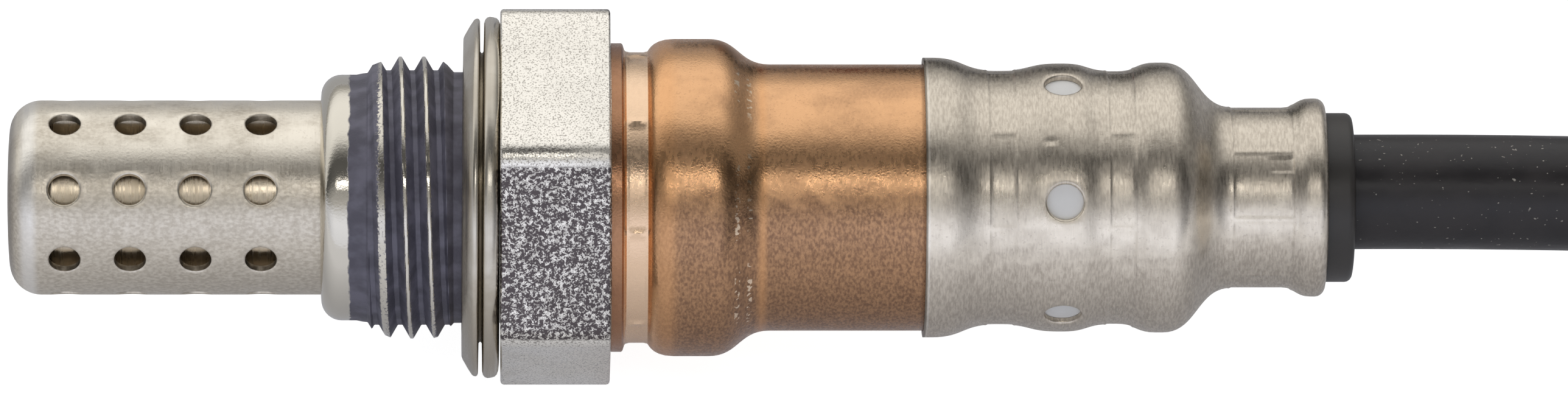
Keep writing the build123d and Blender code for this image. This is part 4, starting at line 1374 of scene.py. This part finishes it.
@dataclass
class Sleeve:
    """Heat-tinted sleeve, rolled over the housing's collar and necked under the cap.

    Attributes:
        stages: (front, rear, radius, bend) of each level, from the rolled rim to the neck.
        groove: centre and half width of the jaw prints in the rolled groove, and in the next its radius.
        groove_edges: stations of the rows that keep the prints' edges crisp.
        print_depth: of a jaw's print, and in the next how many times as high a seam stands.
        waves: (height, turns, start angle) of the waves that rolling left in the shoulder.
        shoulder: centre, half width and softness of the stretch with those waves.
        vents: ring of holes in the neck, which the cap's vents lie over.
    """

    wall: float = 0.45
    stages: tuple[tuple[float, float, float, float], ...] = (
        (38.41, 39.06, 9.85, 0.5),
        (39.36, 40.72, 9.325, 0.5),
        (42.42, 44.62, 10.135, 0.15),
        (48.52, 58.91, 8.5, 0.5),
        (60.11, 75.0, 7.15, 0.5),
    )
    groove: tuple[float, float] = (40.04, 0.55)
    groove_radius: float = 9.3
    groove_edges: tuple[float, ...] = (39.42, 39.52, 39.62, 40.46, 40.56, 40.66)
    print_depth: float = 0.05
    seam_rise: float = 2.2
    waves: tuple[tuple[float, float, float], ...] = ((0.012, 2, 25), (0.008, 5, 0))
    shoulder: tuple[float, float, float] = (43.5, 3.0, 2.0)
    jaws: Jaws = Jaws()
    vents: HoleRing = HoleRing(
        station=67.11, radius=1.0, rim=0.1, block=1.35, half_rows=5, half_columns=7, count=6, first_angle=44.7
    )
    columns: int = 240
    step: float = 0.3

    def relief(self, station: float, angle: float) -> float:
        """Jaw marks in the groove, and the slight waves of a rolled sheet.

        Args:
            station: place along the axis.
            angle: direction round the axis.

        Returns:
            Height in millimetres.
        """
        groove = bump(*self.groove, 0.1, station)
        seam = self.jaws.seam(angle, self.groove_radius)
        jaw = -self.print_depth * groove * (1 - self.seam_rise * seam)
        wave = sum(high * math.sin(math.radians(turns * angle + start)) for high, turns, start in self.waves)
        return jaw + wave * bump(*self.shoulder, station)

    def build(self) -> None:
        """Make the sleeve."""
        outer = self.vents.fit(stage_rows(self.stages, self.step))
        outer = insert_rows(outer, self.groove_edges, 0.04)
        skin = TurnedSkin(
            sheet_rows(outer, self.wall), self.columns, self.vents.first_angle, relief=self.relief,
            wall=self.wall, holes=self.vents.holes(outer, self.columns),
        )
        shell = skin.build("bronze_sleeve")
        dress(shell, SLEEVE_STEEL.material())
        mount(shell, "sleeve_bronze", "sleeve")


@dataclass
class RearCap:
    """Drawn cap with vents in its crest, crimped on the sleeve and on the grommet.

    Attributes:
        stages: (front, rear, radius, bend) of each level, from the mouth to the curled rim.
        curl_radius: radius where the rim's curl is centred, and in the next its outer and inner reach.
        bands: (front, rear, radius) of each ring of jaw prints.
        print_depth: of a jaw's print, with the height of the lips at its two ends and how far they
            stand off it in the next two.
        mouth: station of the mouth's ragged edge, and in the next how far it stands out.
        knock: station, radius and angle of a dent from handling, and in the next its depth.
        stamp: station, radius and angle of a shallow frame by the rim, with half its length, half
            its width and its depth in the next two.
        membrane: stations of the filter's two ends, with its radii and its gap in the next three.
    """

    wall: float = 0.38
    stages: tuple[tuple[float, float, float, float], ...] = (
        (58.31, 58.91, 8.93, 0.5),
        (62.86, 63.36, 8.12, 0.5),
        (66.86, 67.36, 8.56, 0.5),
        (70.21, 70.71, 8.1, 0.5),
        (73.16, 73.66, 8.62, 0.5),
        (78.01, 81.21, 5.78, 0.5),
        (83.06, 83.36, 6.33, 0.5),
    )
    curl_radius: float = 5.73
    curl_outer: float = 0.6
    curl_inner: float = 0.22
    bands: tuple[tuple[float, float, float], ...] = (
        (62.42, 64.06, 8.12), (70.04, 71.63, 8.1), (77.96, 81.74, 5.78)
    )
    print_depth: float = 0.035
    lip_height: float = 0.02
    lip_gap: float = 0.1
    mouth: float = 58.3
    mouth_wave: float = 0.03
    knock: tuple[float, float, float] = (66.2, 8.5, 71.4)
    knock_depth: float = 0.12
    stamp: tuple[float, float, float] = (81.0, 5.8, 68.0)
    stamp_size: tuple[float, float] = (0.7, 0.5)
    stamp_depth: float = 0.05
    jaws: Jaws = Jaws()
    vents: HoleRing = HoleRing(
        station=67.11, radius=1.165, rim=0.16, block=1.6, half_rows=6, half_columns=9, count=6,
        first_angle=44.7,
    )
    membrane: tuple[float, float] = (61.11, 72.46)
    membrane_bore: float = 7.17
    membrane_waist: float = 7.62
    membrane_gap: float = 0.03
    columns: int = 288
    step: float = 0.28

    def relief(self, station: float, angle: float) -> float:
        """Prints of the jaws, the ragged mouth, a knock and a stamped frame.

        Args:
            station: place along the axis.
            angle: direction round the axis.

        Returns:
            Height in millimetres.
        """
        height = 0.0
        for front, rear, radius in self.bands:
            inside = bump((front + rear) / 2, (rear - front) / 2, 0.04, station)
            ends = (front - self.lip_gap, rear + self.lip_gap)
            lips = sum(bump(end, 0.03, 0.06, station) for end in ends)
            print_height = self.lip_height * lips - self.print_depth * inside
            height += print_height * (1 - self.jaws.seam(angle, radius))
        ragged = math.sin(math.radians(9 * angle + 20)) * math.sin(math.radians(4 * angle))
        height += bump(self.mouth, 0.5, 0.4, station) * self.mouth_wave * ragged
        along, radius, side = self.knock
        off = math.hypot(station - along, math.radians(turn_between(angle, side)) * radius)
        height -= self.knock_depth * bump(0.0, 0.16, 0.14, off)
        along, radius, side = self.stamp
        half_length, half_width = self.stamp_size
        across = math.radians(turn_between(angle, side)) * radius
        frame = bump(along, half_length, 0.06, station) * bump(0.0, half_width, 0.06, across)
        return height - self.stamp_depth * frame

    def build(self) -> None:
        """Make the cap and the membrane inside it."""
        edges = [
            side + offset
            for front, rear, _ in self.bands
            for side, offsets in ((front, (-0.2, -0.1, -0.04, 0.04)), (rear, (-0.04, 0.04, 0.1, 0.2)))
            for offset in offsets
        ]
        outer = insert_rows(self.vents.fit(stage_rows(self.stages, self.step)), edges, 0.05)
        rim = self.stages[-1][1]
        curl = []
        for reach, turns in ((self.curl_outer, (18, 36, 54, 72, 90)), (self.curl_inner, (90, 45))):
            for turn in map(math.radians, turns):
                curl.append(Row(rim + reach * math.sin(turn), self.curl_radius + reach * math.cos(turn)))
        skin = TurnedSkin(
            sheet_rows(outer, self.wall, curl), self.columns, self.vents.first_angle, relief=self.relief,
            wall=self.wall, holes=self.vents.holes(outer, self.columns), sharp_angle=40.0,
        )
        shell = skin.build("crimped_cap")
        dress(shell, CAP_STEEL.material())
        mount(shell, "cap_steel", "rear_cap")
        self.build_membrane(outer)

    def build_membrane(self, outer: Sequence[Row]) -> None:
        """Make the filter, which the crimps hold and which bulges against the cap's vents.

        Args:
            outer: rows of the cap's outer face.
        """
        front, rear = self.membrane
        rows = [Row(front, self.membrane_bore)]
        for place in range(33):
            station = front + (rear - front) * place / 32
            between = self.bands[0][0] < station < self.bands[1][1]
            inside = level_at(outer, station) - self.wall - self.membrane_gap
            rows.append(Row(station, max(self.membrane_waist, inside) if between else self.membrane_waist))
        rows.append(Row(rear, self.membrane_bore))
        band = TurnedSkin(rows, 96).build("vent_membrane")
        dress(band, POROUS_PTFE.material())
        mount(band, "membrane", "filter_membrane")


@dataclass
class Grommet:
    """Rubber plug that closes the cap, with the cup that takes the cable.

    Attributes:
        body: (station, radius) from the hidden front face to the lip that shows.
        face: station of the rear face, whose edge has the round in the next.
        cup_floor: station of the cup's floor, with its radius and the bevel of its mouth in the next two.
    """

    body: tuple[tuple[float, float], ...] = (
        (68.7, 0.0), (68.7, 6.6), (74.8, 6.6), (77.1, 5.3), (81.2, 5.3), (83.2, 5.4)
    )
    face: float = 85.7
    edge_round: float = 0.45
    cup_floor: float = 83.02
    cup_radius: float = 4.15
    cup_bevel: float = 0.2
    columns: int = 96

    def build(self) -> None:
        """Make the plug."""
        lip = self.body[-1][1]
        rows = [Row(station, radius) for station, radius in self.body]
        rows += [
            Row(self.face - along, lip - inwards) for along, inwards in round_edge(self.edge_round, 4)[::-1]
        ]
        rows.append(Row(self.face, self.cup_radius + self.cup_bevel))
        rows += [Row(station, self.cup_radius) for station in (self.face - self.cup_bevel, self.cup_floor)]
        rows.append(Row(self.cup_floor, 0.0))
        plug = TurnedSkin(rows, self.columns).build("wire_grommet")
        dress(plug, FLUORO_RUBBER.material())
        mount(plug, "grommet_rubber", "grommet")


# ---------------------------------------------------------------- inside pieces and connector
TERMINALS = tuple(f"connector_terminal_{number}" for number in range(1, 5))
CONNECTOR_WIRES = tuple(f"connector_wire_{number}" for number in range(1, 5))


@dataclass
class Internals:
    """Sealed pieces and the connector, whose CAD nodes stay and get their finishes."""

    finishes: tuple[tuple[TurnedSteel | Moulded, tuple[str, ...]], ...] = (
        (PLAIN_STEEL, ("packing_washer", "crimp_ring", "separator_spring")),
        (ZIRCONIA, ("zirconia_element",)),
        (ALUMINA, ("heater_rod",)),
        (TALC, ("talc_seal",)),
        (STEATITE, ("insulator_ring", "ceramic_separator")),
        (CONTACT_ALLOY, ("signal_contact", "ground_contact", "heater_contact_1", "heater_contact_2")),
        (BLACK_PTFE, ("lead_wire_1", "connector_wire_1")),
        (WHITE_PTFE, ("lead_wire_2", "lead_wire_4", "connector_wire_2", "connector_wire_4")),
        (GREY_PTFE, ("lead_wire_3", "connector_wire_3")),
        (BOOT_SILICONE, ("connector_boot",)),
        (BLACK_POLYAMIDE, ("connector_housing",)),
        (SEAL_SILICONE, ("connector_seal",)),
        (LOCK_POLYESTER, ("terminal_lock",)),
        (TINNED_BRASS, TERMINALS),
    )

    def build(self, nodes: dict[str, bpy.types.Object]) -> None:
        """Dress each CAD node that stays.

        Args:
            nodes: CAD nodes by name.
        """
        for finish, names in self.finishes:
            material = finish.material()
            for name in names:
                dress(nodes[name], material)


# ---------------------------------------------------------------- cable
@dataclass
class Cable:
    """Silicone hose round the four leads, folded once behind the sensor.

    Attributes:
        length: real length in metres.
        route: points of the spline in the shared frame.
        carried: nodes on the cable's far end.
    """

    radius: float = 3.675
    length: float = 0.2854
    route: tuple[tuple[float, float, float], ...] = (
        (40.055, 0.28, 11.73),
        (70.5, 0.28, 12.11),
        (102.0, -0.8, 6.2),
        (133.2, -0.4, 3.695),
        (155.9, 22.2, 3.695),
        (156.2, 54.4, 3.695),
        (133.6, 77.0, 3.695),
        (100.6, 77.9, 3.695),
        (71.6, 74.4, 3.695),
        (51.6, 69.6, 7.52),
        (33.8, 65.2, 7.52),
    )
    carried: tuple[str, ...] = (
        "connector_boot", "connector_housing", "connector_seal", "terminal_lock", *TERMINALS, *CONNECTOR_WIRES
    )

    def build(self, nodes: dict[str, bpy.types.Object]) -> None:
        """Args:
            nodes: CAD nodes by name; not used.
        """
        curve = bpy.data.curves.new("cable_hose", "CURVE")
        curve.dimensions = "3D"
        spline = curve.splines.new("NURBS")
        spline.points.add(len(self.route) - 1)
        for point, place in zip(spline.points, self.route):
            point.co = (*[value * MM for value in place], 1.0)
        spline.order_u = 3
        spline.use_endpoint_u = True
        curve.resolution_u = 16
        curve.bevel_depth = self.radius * MM
        curve.bevel_resolution = 12
        curve.use_fill_caps = True
        hose = bpy.data.objects.new("cable_hose", curve)
        bpy.context.scene.collection.objects.link(hose)
        dress(hose, CABLE_SILICONE.material())
        mount(hose, "cable_jacket", "cable")


# ---------------------------------------------------------------- studio
@dataclass
class Studio:
    """White table, soft overhead light with a dark gap, and the camera.

    Attributes:
        elevation: height of the camera in degrees, seen from the target.
        sky: (angle, level, warmth) of each stop round the axis, from the horizon in front.
        sky_gain: what the ramp's colours are divided by, as a stop holds no more than 1, and what
            its light is multiplied by.
        end_light: how nearly along the axis a ray goes where the light starts and stops falling.
        end_fall: share of the light that is lost there, and in the next how much a ray past the
            tip counts against one past the cable.
        strip: angles of a thin strip light's two edges, and its level.
        strip_ends: how far along the axis the strip starts and stops fading.
        table_fade: Y in metres where the table's light on glossy metal starts and stops fading,
            with its brightness at both in the next.
        table_glow: light of its own that the table shows the camera.
        table_grey: share of light that the table throws back.
    """

    elevation: float = 46.7
    target: tuple[float, float, float] = (6.46, 0.0, 11.53)
    camera_x: float = -10.5
    distance: float = 870.0
    lens: float = 313.0
    sky: tuple[tuple[float, float, float], ...] = (
        (0, 0.92, -1.3), (23, 1.05, -1.3), (33, 0.80, -1.0), (40, 0.54, 0.0), (54, 0.35, 0.0),
        (66, 0.125, 0.0), (84, 0.10, 0.0), (93, 0.30, 0.0), (101, 0.80, 0.0), (112, 1.05, 0.0),
        (146, 1.12, 0.0), (160, 1.0, 0.0), (170, 0.5, 0.3), (180, 0.3, 0.3),
    )
    sky_gain: float = 2.0
    end_light: tuple[float, float] = (0.3, 0.95)
    end_fall: float = 0.75
    near_end_share: float = 0.6
    strip: tuple[float, float, float] = (57.0, 62.0, 3.4)
    strip_ends: tuple[float, float] = (0.25, 0.5)
    floor_size: float = 3000.0
    table_fade: tuple[float, float] = (-0.04, 0.008)
    table_mirror: tuple[float, float] = (0.5, 0.16)
    table_glow: float = 0.9
    table_grey: float = 0.45

    def camera(self) -> None:
        """Place the camera."""
        lens = bpy.data.cameras.new("camera")
        lens.lens = self.lens
        lens.sensor_width = 36.0
        lens.clip_start = 0.01
        lens.clip_end = 20.0
        eye = bpy.data.objects.new("camera", lens)
        up = math.radians(self.elevation)
        aim = Vector(self.target) * MM
        place = aim + Vector((0, -math.cos(up), math.sin(up))) * self.distance * MM
        place.x = self.camera_x * MM
        back = (place - aim).normalized()
        level = (Vector((1, 0, 0)) - back * back.x).normalized()
        turned = Matrix((level, back.cross(level), back)).transposed()
        eye.location = place
        eye.rotation_euler = turned.to_euler()
        bpy.context.scene.collection.objects.link(eye)
        bpy.context.scene.camera = eye

    def world(self) -> None:
        """Light that changes only round the sensor's axis, as long soft boxes would give."""
        world = bpy.data.worlds.new("studio")
        light = Nodes(world)
        x, y, z = light.add("SeparateXYZ", (light.add("TexCoord", out="Generated"),)).node.outputs
        front = light.add("Math", (y, -1.0), operation="MULTIPLY")
        turn = light.add("Math", (z, front), operation="ARCTAN2")
        share = light.add("Math", (turn, math.pi), operation="DIVIDE")
        sky = light.add("ValToRGB", (share,))
        stops = sky.node.color_ramp.elements
        while len(stops) > 1:
            stops.remove(stops[-1])
        for number, (angle, level, warmth) in enumerate(self.sky):
            stop = stops[0] if number == 0 else stops.new(angle / 180)
            stop.position = angle / 180
            half = level / self.sky_gain
            stop.color = (half * (1 + 0.03 * warmth), half, half * (1 - 0.1 * warmth), 1.0)
        near = light.add("Math", (x, -self.near_end_share), operation="MULTIPLY")
        ends = light.add("Math", (x, near), operation="MAXIMUM")
        levels = (self.sky_gain, self.sky_gain * (1 - self.end_fall))
        strength = light.add("MapRange", (ends, *self.end_light, *levels), **SOFT)
        low, high, level = self.strip
        inputs = (share, (low + high) / 360, (high - low) / 360)
        within = light.add("Math", inputs, operation="COMPARE")
        sideways = light.add("Math", (x,), operation="ABSOLUTE")
        middle = light.add("MapRange", (sideways, *self.strip_ends, level, 0.0), **SOFT)
        thin = light.add("Math", (within, middle), operation="MULTIPLY")
        soft = light.add("Background", {"Color": sky, "Strength": strength})
        strip = light.add("Background", {"Color": (1, 0.98, 0.95, 1), "Strength": thin})
        lit = light.add("AddShader", (soft, strip))
        white = light.add("Background", {"Color": (1, 1, 1, 1), "Strength": 1.0})
        ways = light.add("LightPath").node.outputs
        inputs = (ways["Is Camera Ray"], ways["Is Transmission Ray"])
        seen = light.add("Math", inputs, operation="MAXIMUM")
        light.add("OutputWorld", {"Surface": light.add("MixShader", (seen, lit, white))})
        bpy.context.scene.world = world

    def floor(self) -> None:
        """White table that shows as white and keeps a faint shadow."""
        half = self.floor_size / 2 * MM
        mesh = bpy.data.meshes.new("table")
        edge = [(-half, -half, 0), (half, -half, 0), (half, half, 0), (-half, half, 0)]
        mesh.from_pydata(edge, [], [(0, 1, 2, 3)])
        table = bpy.data.objects.new("table", mesh)
        bpy.context.scene.collection.objects.link(table)
        laminate = bpy.data.materials.new("white laminate table")
        sheet = Nodes(laminate)
        ways = sheet.add("LightPath").node.outputs
        _, across, _ = sheet.add("SeparateXYZ", (sheet.add("TexCoord", out="Object"),)).node.outputs
        behind = sheet.add("MapRange", (across, *self.table_fade, *self.table_mirror))
        mirrored = sheet.add("Math", (ways["Is Glossy Ray"], behind), operation="MULTIPLY")
        inputs = (ways["Is Camera Ray"], ways["Is Transmission Ray"])
        straight = sheet.add("Math", inputs, operation="MAXIMUM")
        shown = sheet.add("Math", (straight, self.table_glow, mirrored), operation="MULTIPLY_ADD")
        inputs = {0: ways["Is Camera Ray"], 6: (0.97, 1.0, 1.12, 1), 7: (1, 1, 1, 1)}
        tint = sheet.add("Mix", inputs, **COLOURS)
        glow = sheet.add("Emission", {"Color": tint, "Strength": shown})
        matt = sheet.add("BsdfDiffuse", {"Color": (self.table_grey, self.table_grey, self.table_grey, 1)})
        sheet.add("OutputMaterial", {"Surface": sheet.add("AddShader", (glow, matt))})
        mesh.materials.append(laminate)

    def build(self) -> None:
        """Set up the camera, the light and the table."""
        bpy.context.scene.view_settings.view_transform = "Standard"
        self.camera()
        self.world()
        self.floor()


def corners(box: Any) -> list[list[float]]:
    """Turn a box's two corners into plain lists."""
    return [[float(value) for value in corner] for corner in box]


def main() -> None:
    """Build the sensor round its CAD frame."""
    logging.basicConfig(level=logging.INFO, format="%(name)s: %(message)s")
    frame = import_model()
    nodes = frame["nodes"]
    Studio().build()
    Cable().build(nodes)
    GasEnd().build(nodes)
    Housing().build()
    CrushGasket().build()
    Sleeve().build()
    RearCap().build()
    Grommet().build()
    Internals().build(nodes)
    bpy.context.view_layer.update()


if __name__ == "__main__":
    main()
